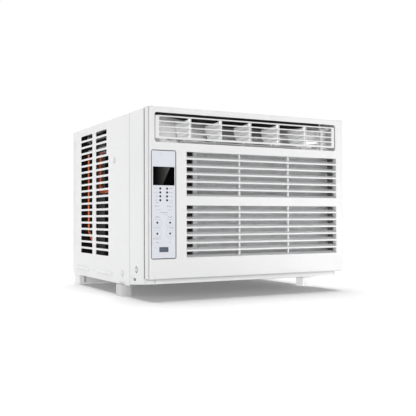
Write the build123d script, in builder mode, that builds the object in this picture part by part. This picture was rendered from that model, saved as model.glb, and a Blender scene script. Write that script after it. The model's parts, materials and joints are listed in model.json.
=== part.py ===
"""Compact window air conditioner, built piece by piece.

Frame: +Z up, the room side faces -Y, +X is to the right as seen from the room.
The origin is at the middle of the outer box, on the surface that the feet stand on.
"""
import os

from build123d import *

os.makedirs("parts", exist_ok=True)

# ---------------------------------------------------------------- driving dimensions (mm)
WIDTH = 470.0  # case and front panel
DEPTH = 488.0  # face to the rear edge of the case
FOOT_HEIGHT = 24.0  # surface to the underside of the base pan
LIP_HEIGHT = 20.5  # underside of the base pan to the lower edge of the fascia
FACE_HEIGHT = 337.0  # fascia
FOOT_OVERHANG = 9.0  # front feet stand out of the case sides

FASCIA_DEPTH = 25.0
PANEL_DEPTH = 104.0  # face to the seam between plastic panel and steel case
PLASTIC = 2.8  # wall of the plastic mouldings
SHEET = 1.2  # steel sheet
SEAM = 0.4  # gap between neighbouring shells

OUTLET_LEFT, OUTLET_RIGHT = 10.5, 449.5  # air outlet, from the face's left edge
OUTLET_LOW, OUTLET_HIGH = 267.0, 325.0  # air outlet, above the fascia's lower edge
LOUVER_LOW, LOUVER_HIGH = 274.0, 319.5  # louver frame, same datum
LOUVER_FRONT = 1.4  # louver frame's front, behind the face
LOUVER_PIVOT_DEPTH = 20.0
CELL_LEFT, CELL_RIGHT = 21.0, 440.2  # open part of the louver frame
DIVIDER_FIRST, DIVIDER_PITCH, DIVIDER_COUNT = 89.6, 70.2, 5
VANE_PIVOT_DEPTH = 8.6
VANE_LINK_DEPTH = 32.0

GRILLE_LEFT, GRILLE_RIGHT = 79.3, 451.3  # return-air slots
SLOT_PITCH, SLOT_OPENING = 15.2, 11.8
UPPER_SLOT_TOP, UPPER_SLOTS = 249.9, 6
LOWER_SLOT_TOP, LOWER_SLOTS = 143.6, 7
GRILLE_DEPTH, BLADE_RISE = 13.0, 5.0

CONTROL_LEFT, CONTROL_RIGHT = 2.6, 56.7  # control overlay's pocket
CONTROL_LOW, CONTROL_HIGH = 38.7, 251.7
CONTROL_WIDTH, CONTROL_HEIGHT = CONTROL_RIGHT - CONTROL_LEFT, CONTROL_HIGH - CONTROL_LOW
KEY_COLUMNS = (16.1, 43.4)
KEY_ROWS = (109.8, 88.5)
KEY_SIZE = (17.0, 12.0)
LIGHT_COLUMNS = (22.5, 37.0)
LIGHT_TOP_ROW, LIGHT_PITCH = 176.3, 7.6

FAN_X, FAN_Z = 44.0, 194.5  # axis of motor, blower wheel and condenser fan
SHAFT_RADIUS = 5.0
BLOWER_RADIUS = 85.0
CONDENSER_FAN_RADIUS = 130.0
COMPRESSOR_X, COMPRESSOR_Y = -160.0, 20.0

HALF = WIDTH / 2
CASE_BOTTOM = FOOT_HEIGHT
FACE_BOTTOM = FOOT_HEIGHT + LIP_HEIGHT
TOP = FACE_BOTTOM + FACE_HEIGHT


def across(distance):
    """X of a point this far to the right of the face's left edge."""
    return distance - WIDTH / 2


def behind(distance):
    """Y of a point this far behind the face."""
    return distance - DEPTH / 2


def above(height):
    """Z of a point this far above the fascia's lower edge."""
    return height + FACE_BOTTOM


def block(x_range, y_range, z_range, mode=Mode.ADD):
    """A box given by its low and high faces along X, Y and Z."""
    middle = [(low + high) / 2 for low, high in (x_range, y_range, z_range)]
    with Locations(tuple(middle)):
        Box(
            x_range[1] - x_range[0],
            y_range[1] - y_range[0],
            z_range[1] - z_range[0],
            mode=mode,
        )


def rod_x(x_range, y, z, radius, mode=Mode.ADD):
    """A round bar along X."""
    with Locations(((x_range[0] + x_range[1]) / 2, y, z)):
        Cylinder(radius, x_range[1] - x_range[0], rotation=(0, 90, 0), mode=mode)


def rod_y(x, y_range, z, radius, mode=Mode.ADD):
    """A round bar along Y."""
    with Locations((x, (y_range[0] + y_range[1]) / 2, z)):
        Cylinder(radius, y_range[1] - y_range[0], rotation=(90, 0, 0), mode=mode)


def rod_z(x, y, z_range, radius, mode=Mode.ADD):
    """A round bar along Z."""
    with Locations((x, y, (z_range[0] + z_range[1]) / 2)):
        Cylinder(radius, z_range[1] - z_range[0], mode=mode)


def save(piece, name):
    """Label a finished piece and write its STEP file."""
    piece.part.label = name
    export_step(piece.part, f"parts/{name}.step")


# ---------------------------------------------------------------- base pan
PAN_HALF = HALF - SHEET - 0.4
PAN_REAR = DEPTH - 4.0
PAN_STEP_Y = PANEL_DEPTH + 2.0
PAN_FLOOR = CASE_BOTTOM + 1.5
FLANGE_TOP = CASE_BOTTOM + 32.0
FOOT_SCREW_SPOTS = [(side * 226, behind(y)) for side in (-1, 1) for y in (139, 155)]
REAR_FOOT_SCREW_SPOTS = [(x, behind(467)) for x in (-180, 0, 180)]
DRAIN_X, DRAIN_Y = 150.0, 160.0
LOW_SCREW = (behind(146), above(2.1))
HIGH_SCREW = (behind(192.5), above(243.9))
STUD_ANGLES = (30, 150, 270)
STUD_CIRCLE = 66.0

with BuildPart() as base_pan:
    # flat floor of the case part
    block((-PAN_HALF, PAN_HALF), (behind(PAN_STEP_Y), behind(PAN_REAR)), (CASE_BOTTOM, PAN_FLOOR))
    # floor rising to the front inside the plastic lip
    with BuildSketch(Plane.YZ.offset(-HALF + PLASTIC + 1)):
        with BuildLine():
            Polyline(
                (behind(32), above(-10.4)),
                (behind(PAN_STEP_Y), above(-16.6)),
                (behind(PAN_STEP_Y), CASE_BOTTOM),
                (behind(PAN_STEP_Y + 1.5), CASE_BOTTOM),
                (behind(PAN_STEP_Y + 1.5), above(-15.2)),
                (behind(32), above(-8.9)),
                close=True,
            )
        make_face()
    extrude(amount=WIDTH - 2 * PLASTIC - 2)
    for side in (-1, 1):
        x_range = sorted((side * PAN_HALF, side * (PAN_HALF - 1.2)))
        block(x_range, (behind(PAN_STEP_Y + 2), behind(PAN_REAR)), (CASE_BOTTOM, FLANGE_TOP))
        rod_x(sorted((side * (HALF - 6), side * HALF)), *LOW_SCREW, 2.05, Mode.SUBTRACT)
    rear_flange_y = (behind(PAN_REAR - 1.2), behind(PAN_REAR))
    block((-PAN_HALF, PAN_HALF), rear_flange_y, (CASE_BOTTOM, CASE_BOTTOM + 20))
    # drain hole, foot screw holes and compressor stud holes
    through = (CASE_BOTTOM - 1, PAN_FLOOR + 1)
    rod_z(DRAIN_X, DRAIN_Y, through, 8.3, Mode.SUBTRACT)
    for x, y in FOOT_SCREW_SPOTS + REAR_FOOT_SCREW_SPOTS:
        rod_z(x, y, through, 2.2, Mode.SUBTRACT)
save(base_pan, "base_pan")

# ---------------------------------------------------------------- outer case
CASE_FRONT = PANEL_DEPTH + 1.0
CASE_SLOT_TOP, CASE_SLOT_PITCH, CASE_SLOT_ROWS = 318.4, 15.16, 19
CASE_SLOT_HEIGHT = 10.4
FRONT_COLUMN = (230.0, 315.0)
FRONT_COLUMN_SHORT = (242.0, 315.0)
REAR_COLUMN = (339.0, 425.0)
SHORT_ROWS = 4
RAIL_HOLE_X, RAIL_HOLE_Y = 190.0, behind(232)

with BuildPart() as outer_case:
    block((-HALF, HALF), (behind(CASE_FRONT), behind(DEPTH)), (CASE_BOTTOM, TOP))
    fillet(outer_case.edges().filter_by(Axis.Y).group_by(Axis.Z)[-1], 3.0)
    inner_x = (-HALF + SHEET, HALF - SHEET)
    inner_y = (behind(CASE_FRONT - 1), behind(DEPTH - SHEET))
    block(inner_x, inner_y, (CASE_BOTTOM - 1, TOP - SHEET), Mode.SUBTRACT)
    # open rear, inside a narrow flange
    rear_x = (-HALF + 12, HALF - 12)
    rear_y = (behind(DEPTH - 5), behind(DEPTH + 1))
    block(rear_x, rear_y, (CASE_BOTTOM - 1, TOP - 12), Mode.SUBTRACT)
    # condenser air slots, both sides
    with BuildSketch(Plane.YZ):
        for row in range(CASE_SLOT_ROWS):
            z = above(CASE_SLOT_TOP - CASE_SLOT_HEIGHT / 2 - row * CASE_SLOT_PITCH)
            front = FRONT_COLUMN_SHORT if row < SHORT_ROWS else FRONT_COLUMN
            for low, high in (front, REAR_COLUMN):
                with Locations((behind((low + high) / 2), z)):
                    RectangleRounded(high - low, CASE_SLOT_HEIGHT, 3.0)
    extrude(amount=HALF + 5, both=True, mode=Mode.SUBTRACT)
    # stiffening beads pressed outwards, with sloping sides
    for side in (-1, 1):
        with BuildSketch(Plane.YZ.offset(side * (HALF - 0.2))):
            with Locations((behind(476), above(179))):
                SlotOverall(280, 10, rotation=90)
            with Locations((behind(254.5), above(-2.5)), (behind(413), above(-2.5))):
                SlotOverall(103, 9)
            with Locations((behind(334), above(-1))):
                Circle(5)
        extrude(amount=side * 2.2, taper=50)
        # fixing holes for the screws and for a side curtain
        for y, z in (LOW_SCREW, HIGH_SCREW):
            rod_x(sorted((side * (HALF - 3), side * (HALF + 3))), y, z, 2.1, Mode.SUBTRACT)
        rod_z(side * RAIL_HOLE_X, RAIL_HOLE_Y, (TOP - 3, TOP + 3), 2.2, Mode.SUBTRACT)
    for x in (-205, 205):
        rod_y(x, (behind(DEPTH - 3), behind(DEPTH + 3)), TOP - 6, 2.1, Mode.SUBTRACT)
    # shallow bead pressed into the top
    with BuildSketch(Plane.XY.offset(TOP)):
        with Locations((0, behind(300))):
            RectangleRounded(400, 300, 18)
            RectangleRounded(386, 286, 11, mode=Mode.SUBTRACT)
    extrude(amount=-0.6, mode=Mode.SUBTRACT)
save(outer_case, "outer_case")

# ---------------------------------------------------------------- rear guard
GUARD_HALF, GUARD_LOW, GUARD_HIGH = 220.5, CASE_BOTTOM + 24, TOP - 14
GUARD_PITCH = 11.5

with BuildPart() as rear_guard:
    block((-GUARD_HALF, GUARD_HALF), (behind(481), behind(486)), (GUARD_LOW, GUARD_HIGH))
    window_x = (-GUARD_HALF + 6, GUARD_HALF - 6)
    block(window_x, (behind(480), behind(487)), (GUARD_LOW + 6, GUARD_HIGH - 6), Mode.SUBTRACT)
    wires = int((GUARD_HIGH - GUARD_LOW - 12) / GUARD_PITCH)
    for index in range(1, wires + 1):
        z = GUARD_LOW + 6 + index * GUARD_PITCH
        rod_x((-GUARD_HALF + 3, GUARD_HALF - 3), behind(484), z, 1.2)
    for x in (-146, -73, 0, 73, 146):
        block((x - 2, x + 2), (behind(481.5), behind(484)), (GUARD_LOW + 3, GUARD_HIGH - 3))
save(rear_guard, "rear_guard")

# ---------------------------------------------------------------- feet
FOOT_Y = (behind(131), behind(163))

for side, name in ((-1, "front_foot_left"), (1, "front_foot_right")):
    outside = side * (HALF + FOOT_OVERHANG)
    inside = side * (HALF - 15.5)
    middle_x = (outside + inside) / 2
    middle_y = (FOOT_Y[0] + FOOT_Y[1]) / 2
    length = abs(outside - inside)
    depth = FOOT_Y[1] - FOOT_Y[0]
    with BuildPart() as front_foot:
        with BuildSketch(Plane.XY.offset(4)):
            with Locations((middle_x, middle_y)):
                RectangleRounded(length - 1.6, depth - 1.6, 1.0)
        extrude(amount=FOOT_HEIGHT - 4)
        with BuildSketch(Plane.XY):
            with Locations((middle_x, middle_y)):
                RectangleRounded(length, depth, 1.2)
        extrude(amount=4)
        # mounting flange, against the underside of the pan
        flange_x = sorted((inside - side * 7, side * (HALF - 1)))
        block(flange_x, (FOOT_Y[0] - 10, FOOT_Y[1] + 5), (FOOT_HEIGHT - 2.4, FOOT_HEIGHT))
        # hollow, open at the bottom
        with BuildSketch(Plane.XY):
            with Locations((middle_x, middle_y)):
                RectangleRounded(length - 8, depth - 8, 1.5)
        extrude(amount=FOOT_HEIGHT - 3, mode=Mode.SUBTRACT)
        for y in (139, 155):
            rod_z(side * 226, behind(y), (FOOT_HEIGHT - 5, FOOT_HEIGHT + 1), 2.2, Mode.SUBTRACT)
    save(front_foot, name)

REAR_FOOT_Y = (behind(446), behind(484))
with BuildPart() as rear_foot:
    block((-HALF + 2, HALF - 2), REAR_FOOT_Y, (0, FOOT_HEIGHT))
    fillet(rear_foot.edges().filter_by(Axis.Z), 1.2)
    hollow_y = (REAR_FOOT_Y[0] + 7, REAR_FOOT_Y[1] - 3)
    block((-HALF + 5, HALF - 5), hollow_y, (-1, FOOT_HEIGHT - 2.6), Mode.SUBTRACT)
    # turned-in lips that the unit stands on
    for low in (REAR_FOOT_Y[0], REAR_FOOT_Y[1] - 10):
        block((-HALF + 5, HALF - 5), (low, low + 10), (0, 2.6))
    # front wall set back above the lip, between the end plates
    recess_y = (REAR_FOOT_Y[0] - 1, REAR_FOOT_Y[0] + 4)
    block((-HALF + 16, HALF - 16), recess_y, (4, FOOT_HEIGHT + 1), Mode.SUBTRACT)
    for x, y in REAR_FOOT_SCREW_SPOTS:
        rod_z(x, y, (FOOT_HEIGHT - 5, FOOT_HEIGHT + 1), 2.2, Mode.SUBTRACT)
save(rear_foot, "rear_foot")

with BuildPart() as foot_screws:
    for x, y in FOOT_SCREW_SPOTS + REAR_FOOT_SCREW_SPOTS:
        rod_z(x, y, (FOOT_HEIGHT - 4, PAN_FLOOR), 2.0)
        rod_z(x, y, (PAN_FLOOR, PAN_FLOOR + 2.4), 3.8)
save(foot_screws, "foot_screws")

with BuildPart() as drain_spout:
    rod_z(DRAIN_X, DRAIN_Y, (5, PAN_FLOOR), 8.0)
    rod_z(DRAIN_X, DRAIN_Y, (PAN_FLOOR, PAN_FLOOR + 1.5), 11.0)
    rod_z(DRAIN_X, DRAIN_Y, (4, PAN_FLOOR + 2), 6.0, Mode.SUBTRACT)
save(drain_spout, "drain_spout")

# ---------------------------------------------------------------- panel frame
FRAME_FRONT = FASCIA_DEPTH + SEAM
GROOVE_REAR = 30.0
LIP_FRONT = 12.0
LIP_CORNER = 16.0
LIP_FLOOR = FACE_BOTTOM - 0.3
FILTER_Y = (31.6, 35.6)
FILTER_LOW, FILTER_HIGH = 40.0, 256.0
CORD_Y, CORD_Z = 82.0, 22.0
PANEL_SCREW = (behind(68.3), above(15.2))

with BuildPart() as panel_frame:
    block((-HALF, HALF), (behind(GROOVE_REAR), behind(PANEL_DEPTH)), (CASE_BOTTOM, TOP))
    fillet(panel_frame.edges().filter_by(Axis.Y).group_by(Axis.Z)[-1], 3.0)
    groove = 2.0
    groove_y = (behind(FRAME_FRONT), behind(GROOVE_REAR))
    block((-HALF + groove, HALF - groove), groove_y, (FACE_BOTTOM, TOP - groove))
    # open inside, above the floor over the lip
    inner_x = (-HALF + PLASTIC, HALF - PLASTIC)
    inner_y = (behind(FRAME_FRONT - 1), behind(PANEL_DEPTH + 1))
    block(inner_x, inner_y, (FACE_BOTTOM, TOP - PLASTIC), Mode.SUBTRACT)
    # thicker wall behind the groove
    for side in (-1, 1):
        backing_x = sorted((side * (HALF - groove), side * (HALF - 4.2)))
        block(backing_x, (behind(FRAME_FRONT), behind(GROOVE_REAR + 2)), (FACE_BOTTOM, TOP - groove))
    # lower lip, set back from the face, with round corners
    with BuildSketch(Plane.XY.offset(CASE_BOTTOM)):
        with BuildLine():
            Line((-HALF, behind(GROOVE_REAR + 1)), (-HALF + 1.5, behind(LIP_FRONT + LIP_CORNER)))
            RadiusArc(
                (-HALF + 1.5, behind(LIP_FRONT + LIP_CORNER)),
                (-HALF + 1.5 + LIP_CORNER, behind(LIP_FRONT)),
                LIP_CORNER,
            )
            Line(
                (-HALF + 1.5 + LIP_CORNER, behind(LIP_FRONT)),
                (HALF - 1.5 - LIP_CORNER, behind(LIP_FRONT)),
            )
            RadiusArc(
                (HALF - 1.5 - LIP_CORNER, behind(LIP_FRONT)),
                (HALF - 1.5, behind(LIP_FRONT + LIP_CORNER)),
                LIP_CORNER,
            )
            Polyline(
                (HALF - 1.5, behind(LIP_FRONT + LIP_CORNER)),
                (HALF, behind(GROOVE_REAR + 1)),
                (-HALF, behind(GROOVE_REAR + 1)),
            )
        make_face()
    extrude(amount=LIP_FLOOR - CASE_BOTTOM)
    hollow_z = (CASE_BOTTOM - 1, LIP_FLOOR - PLASTIC)
    block(inner_x, (behind(LIP_FRONT + LIP_CORNER), behind(PANEL_DEPTH + 1)), hollow_z, Mode.SUBTRACT)
    block((-HALF + 20, HALF - 20), (behind(LIP_FRONT + PLASTIC), behind(40)), hollow_z, Mode.SUBTRACT)
    # underside rises towards the front
    with BuildSketch(Plane.YZ):
        with BuildLine():
            Polyline(
                (behind(0), CASE_BOTTOM - 2),
                (behind(0), above(-9.4)),
                (behind(PANEL_DEPTH + 1), above(-17.7)),
                (behind(PANEL_DEPTH + 1), CASE_BOTTOM - 2),
                close=True,
            )
        make_face()
    extrude(amount=HALF + 5, both=True, mode=Mode.SUBTRACT)
    # clip holes and screw pockets, both sides
    for side in (-1, 1):
        wall_x = sorted((side * (HALF - 5), side * (HALF + 1)))
        block(wall_x, (behind(72), behind(81)), (above(-8), above(-2.5)), Mode.SUBTRACT)
        pad_x = sorted((side * (HALF - 0.5), side * (HALF + 0.7)))
        block(pad_x, (behind(84), behind(96)), (above(-8), above(-2.5)))
        rod_x(wall_x, *PANEL_SCREW, 2.1, Mode.SUBTRACT)
        pocket_x = sorted((side * (HALF - 1.6), side * (HALF + 1)))
        rod_x(pocket_x, *PANEL_SCREW, 6.6, Mode.SUBTRACT)
    # filter slot and cord outlet in the right wall
    right_wall = (HALF - 5, HALF + 1)
    slot_y = (behind(FILTER_Y[0] - 0.4), behind(FILTER_Y[1] + 0.4))
    block(right_wall, slot_y, (above(FILTER_LOW - 0.4), above(FILTER_HIGH + 0.4)), Mode.SUBTRACT)
    rod_x(right_wall, behind(CORD_Y), above(CORD_Z), 7.2, Mode.SUBTRACT)
save(panel_frame, "panel_frame")

with BuildPart() as cord_grommet:
    rod_x((HALF - 6, HALF + 2), behind(CORD_Y), above(CORD_Z), 7.0)
    rod_x((HALF, HALF + 2), behind(CORD_Y), above(CORD_Z), 9.5)
    rod_x((HALF - 7, HALF + 3), behind(CORD_Y), above(CORD_Z), 4.5, Mode.SUBTRACT)
save(cord_grommet, "cord_grommet")

with BuildPart() as case_screws:
    for side in (-1, 1):
        for y, z in (LOW_SCREW, HIGH_SCREW):
            rod_x(sorted((side * (HALF - 7), side * HALF)), y, z, 1.9)
            rod_x(sorted((side * HALF, side * (HALF + 2.2))), y, z, 5.0)
            with Locations((side * (HALF + 2.2), y, z)):
                Box(1.2, 0.9, 5.0, mode=Mode.SUBTRACT)
                Box(1.2, 5.0, 0.9, mode=Mode.SUBTRACT)
        # screws of the plastic panel sit in their pockets
        rod_x(sorted((side * (HALF - 8), side * (HALF - 1.6))), *PANEL_SCREW, 1.9)
        rod_x(sorted((side * (HALF - 1.6), side * (HALF + 0.6))), *PANEL_SCREW, 4.6)
        with Locations((side * (HALF + 0.6), *PANEL_SCREW)):
            Box(1.2, 0.9, 5.0, mode=Mode.SUBTRACT)
            Box(1.2, 5.0, 0.9, mode=Mode.SUBTRACT)
    for x in (-205, 205):
        rod_y(x, (behind(DEPTH - 7), behind(DEPTH)), TOP - 6, 1.9)
save(case_screws, "case_screws")

# ---------------------------------------------------------------- front fascia
SIDE_GROOVE = (2.8, 9.4)
SIDE_GROOVE_DEPTH = 3.0
COLLAR = 2.4
POCKET_DEPTH = 1.8
OVERLAY_FRONT = 0.7
RIB_PLACES = (204.5, 326.0)
POST_PLACE = 424.0
RIB_FRONT = 6.0
CONTROL_MIDDLE = (across(CONTROL_LEFT + CONTROL_WIDTH / 2), above(CONTROL_LOW + CONTROL_HEIGHT / 2))
OVERLAY_GAP = 0.7
slot_tops = [UPPER_SLOT_TOP - i * SLOT_PITCH for i in range(UPPER_SLOTS)]
slot_tops += [LOWER_SLOT_TOP - i * SLOT_PITCH for i in range(LOWER_SLOTS)]
pivot_z = above((LOUVER_LOW + LOUVER_HIGH) / 2)
pivot_y = behind(LOUVER_PIVOT_DEPTH)
PIVOT_RADIUS = 3.0

with BuildPart() as front_fascia:
    block((-HALF, HALF), (behind(0), behind(FASCIA_DEPTH)), (FACE_BOTTOM, TOP))
    fillet(front_fascia.faces().sort_by(Axis.Y)[0].edges(), 2.4)
    inner_x = (-HALF + PLASTIC, HALF - PLASTIC)
    inner_z = (FACE_BOTTOM + PLASTIC, TOP - PLASTIC)
    block(inner_x, (behind(PLASTIC), behind(FASCIA_DEPTH + 1)), inner_z, Mode.SUBTRACT)
    # shadow groove down both sides, with a wall behind it
    for side in (-1, 1):
        backing_x = sorted((side * (HALF - PLASTIC), side * (HALF - SIDE_GROOVE_DEPTH - 2.6)))
        block(backing_x, (behind(PLASTIC), behind(SIDE_GROOVE[1] + 2)), (FACE_BOTTOM, TOP - 2))
        cut_x = sorted((side * (HALF - SIDE_GROOVE_DEPTH), side * (HALF + 1)))
        cut_y = (behind(SIDE_GROOVE[0]), behind(SIDE_GROOVE[1]))
        block(cut_x, cut_y, (FACE_BOTTOM - 1, TOP + 1), Mode.SUBTRACT)
    # thick field that carries the grille
    block(
        (across(GRILLE_LEFT - 3), across(GRILLE_RIGHT + 3)),
        (behind(PLASTIC), behind(GRILLE_DEPTH)),
        (above(LOWER_SLOT_TOP - 6 * SLOT_PITCH - SLOT_OPENING - 3), above(UPPER_SLOT_TOP + 8)),
    )
    with BuildSketch(Plane.YZ.offset(across(GRILLE_LEFT))):
        slope = BLADE_RISE / GRILLE_DEPTH
        reach = GRILLE_DEPTH + 1
        with Locations(*[(behind(0), above(top)) for top in slot_tops]):
            Polygon(
                (-1, -slope),
                (reach, reach * slope),
                (reach, reach * slope - SLOT_OPENING),
                (-1, -slope - SLOT_OPENING),
                align=None,
            )
    extrude(amount=GRILLE_RIGHT - GRILLE_LEFT, mode=Mode.SUBTRACT)
    # hollow the plain band between the two banks
    band_low, band_high = LOWER_SLOT_TOP + 9, UPPER_SLOT_TOP - 5 * SLOT_PITCH - SLOT_OPENING - 3
    block(
        (across(GRILLE_LEFT + 2), across(GRILLE_RIGHT - 2)),
        (behind(PLASTIC), behind(GRILLE_DEPTH + 1)),
        (above(band_low), above(band_high)),
        Mode.SUBTRACT,
    )
    # upright ribs behind the blades
    for x in RIB_PLACES:
        for low, high in (
            (slot_tops[-1] - SLOT_OPENING - 1, slot_tops[UPPER_SLOTS] + 6),
            (slot_tops[UPPER_SLOTS - 1] - SLOT_OPENING - 1, slot_tops[0] + 6),
        ):
            block(
                (across(x - 1.8), across(x + 1.8)),
                (behind(RIB_FRONT), behind(GRILLE_DEPTH)),
                (above(low), above(high)),
            )
    # outlet opening; behind the face its collar reaches up to the fascia's top wall
    collar_x = (across(OUTLET_LEFT - COLLAR), across(OUTLET_RIGHT + COLLAR))
    collar_y = (behind(PLASTIC), behind(FASCIA_DEPTH))
    block(collar_x, collar_y, (above(OUTLET_LOW - COLLAR), TOP - 1))
    outlet_x = (across(OUTLET_LEFT), across(OUTLET_RIGHT))
    outlet_y = (behind(PLASTIC), behind(FASCIA_DEPTH + 1))
    block(outlet_x, outlet_y, (above(OUTLET_LOW), TOP - PLASTIC), Mode.SUBTRACT)
    middle_z = (above(OUTLET_LOW) + above(OUTLET_HIGH)) / 2
    with BuildSketch(Plane.XZ.offset(-behind(-1))):
        with Locations((sum(outlet_x) / 2, middle_z)):
            RectangleRounded(OUTLET_RIGHT - OUTLET_LEFT, OUTLET_HIGH - OUTLET_LOW, 5)
    extrude(amount=-(PLASTIC + 2), mode=Mode.SUBTRACT)
    # upright post behind the louver
    post_x = (across(POST_PLACE - 1.5), across(POST_PLACE + 1.5))
    block(post_x, (behind(22), behind(FASCIA_DEPTH)), (above(OUTLET_LOW - 1), TOP - 1))
    pivot_x = (across(OUTLET_LEFT - COLLAR - 1), across(OUTLET_RIGHT + COLLAR + 1))
    rod_x(pivot_x, pivot_y, pivot_z, PIVOT_RADIUS + 0.06, Mode.SUBTRACT)
    # pocket for the control overlay, and the openings behind it
    block(
        (across(SIDE_GROOVE_DEPTH + 0.4), across(CONTROL_RIGHT + 3)),
        (behind(POCKET_DEPTH), behind(4.6)),
        (above(CONTROL_LOW - 3), above(CONTROL_HIGH + 3)),
    )
    with BuildSketch(Plane.XZ.offset(-behind(-1))):
        with Locations(CONTROL_MIDDLE):
            RectangleRounded(CONTROL_WIDTH, CONTROL_HEIGHT, 4)
    extrude(amount=-(POCKET_DEPTH + 1), mode=Mode.SUBTRACT)
    block((across(10.5), across(49)), (behind(0), behind(6)), (above(187.5), above(215.8)), Mode.SUBTRACT)
    block((across(25), across(35)), (behind(0), behind(6)), (above(54.5), above(60.5)), Mode.SUBTRACT)
    for x in LIGHT_COLUMNS:
        for row in range(4):
            z = above(LIGHT_TOP_ROW - row * LIGHT_PITCH)
            rod_y(across(x), (behind(0), behind(6)), z, 1.2, Mode.SUBTRACT)
    for x in KEY_COLUMNS:
        for z in KEY_ROWS:
            with BuildSketch(Plane.XZ.offset(-behind(0))):
                with Locations((across(x), above(z))):
                    RectangleRounded(KEY_SIZE[0] + 0.5, KEY_SIZE[1] + 0.5, 2.2)
            extrude(amount=-8, mode=Mode.SUBTRACT)
save(front_fascia, "front_fascia")

# ---------------------------------------------------------------- control panel
DISPLAY = ((7.1, 53.0), (182.6, 218.8))
RECEIVER = ((20.3, 39.8), (52.5, 62.3))

with BuildPart() as control_overlay:
    with BuildSketch(Plane.XZ.offset(-behind(OVERLAY_FRONT))):
        with Locations(CONTROL_MIDDLE):
            RectangleRounded(CONTROL_WIDTH - 2 * OVERLAY_GAP, CONTROL_HEIGHT - 2 * OVERLAY_GAP, 3.4)
        for (left, right), (low, high) in (DISPLAY, RECEIVER):
            with Locations((across((left + right) / 2), above((low + high) / 2))):
                Rectangle(right - left, high - low, mode=Mode.SUBTRACT)
        for x in LIGHT_COLUMNS:
            for row in range(4):
                with Locations((across(x), above(LIGHT_TOP_ROW - row * LIGHT_PITCH))):
                    Circle(1.2, mode=Mode.SUBTRACT)
        for x in KEY_COLUMNS:
            for z in KEY_ROWS:
                with Locations((across(x), above(z))):
                    RectangleRounded(KEY_SIZE[0] + 0.5, KEY_SIZE[1] + 0.5, 2.2, mode=Mode.SUBTRACT)
    extrude(amount=-(POCKET_DEPTH - OVERLAY_FRONT))
save(control_overlay, "control_overlay")

for name, ((left, right), (low, high)) in (("display_window", DISPLAY), ("receiver_window", RECEIVER)):
    with BuildPart() as window:
        block(
            (across(left + 0.1), across(right - 0.1)),
            (behind(OVERLAY_FRONT - 0.2), behind(POCKET_DEPTH)),
            (above(low + 0.1), above(high - 0.1)),
        )
        fillet(window.edges().filter_by(Axis.Y), 1.0 if name == "display_window" else 2.0)
    save(window, name)

with BuildPart() as indicator_lights:
    for x in LIGHT_COLUMNS:
        for row in range(4):
            z = above(LIGHT_TOP_ROW - row * LIGHT_PITCH)
            rod_y(across(x), (behind(OVERLAY_FRONT - 0.1), behind(5)), z, 1.1)
save(indicator_lights, "indicator_lights")

KEY_NAMES = {
    (16.1, 109.8): "temperature_up_button",
    (43.4, 109.8): "temperature_down_button",
    (16.1, 88.5): "mode_button",
    (43.4, 88.5): "power_button",
}
SWITCH_FRONT = 9.0
BOARD_FRONT = 12.0
for (x, z), name in KEY_NAMES.items():
    with BuildPart() as button:
        with BuildSketch(Plane.XZ.offset(-behind(OVERLAY_FRONT))):
            with Locations((across(x), above(z))):
                RectangleRounded(*KEY_SIZE, 2.0)
        extrude(amount=-5.5)
        rod_y(across(x), (behind(6), behind(SWITCH_FRONT - 0.8)), above(z), 2.5)
        with Locations((across(x), behind(OVERLAY_FRONT), above(z))):
            Sphere(0.9, mode=Mode.SUBTRACT)
    save(button, name)

with BuildPart() as control_board:
    board_y = (behind(BOARD_FRONT), behind(BOARD_FRONT + 1.6))
    block((across(7), across(55)), board_y, (above(50), above(224)))
    block((across(11), across(48.5)), (behind(4), behind(BOARD_FRONT)), (above(188), above(215.3)))
    block((across(26), across(34)), (behind(6), behind(BOARD_FRONT)), (above(55), above(60)))
    switch_y = (behind(SWITCH_FRONT + 0.8), behind(BOARD_FRONT))
    for x, z in KEY_NAMES:
        block((across(x - 3), across(x + 3)), switch_y, (above(z - 3), above(z + 3)))
        rod_y(across(x), (behind(SWITCH_FRONT), behind(BOARD_FRONT)), above(z), 1.6)
    for x in LIGHT_COLUMNS:
        for row in range(4):
            rod_y(across(x), (behind(6), behind(BOARD_FRONT)), above(LIGHT_TOP_ROW - row * LIGHT_PITCH), 1.4)
save(control_board, "control_board")

with BuildPart() as control_box:
    block((across(5), across(62)), (behind(30), behind(72)), (above(46), above(248)))
    block((across(7), across(60)), (behind(29), behind(70)), (above(48), above(246)), Mode.SUBTRACT)
    for z in (80, 150, 215):
        block((across(14), across(50)), (behind(52), behind(70)), (above(z), above(z + 22)))
save(control_box, "control_box")

# ---------------------------------------------------------------- louver frame and vanes
FRAME_LEFT, FRAME_RIGHT = 12.3, 447.7
GRID_DEPTH = 4.2
BAR = 2.3
BAR_PITCH = 10.7
BAR_LOWEST = 286.8
FIRST_OPENING = 277.9
DIVIDER, DIVIDER_DEPTH = 1.8, 2.8
EAR_HOLE = 1.25
divider_places = [DIVIDER_FIRST + i * DIVIDER_PITCH for i in range(DIVIDER_COUNT)]
vane_y = behind(VANE_PIVOT_DEPTH)
grid_y = (behind(LOUVER_FRONT), behind(LOUVER_FRONT + GRID_DEPTH))
cell_z = (above(FIRST_OPENING), above(LOUVER_HIGH - 2.3))

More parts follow.
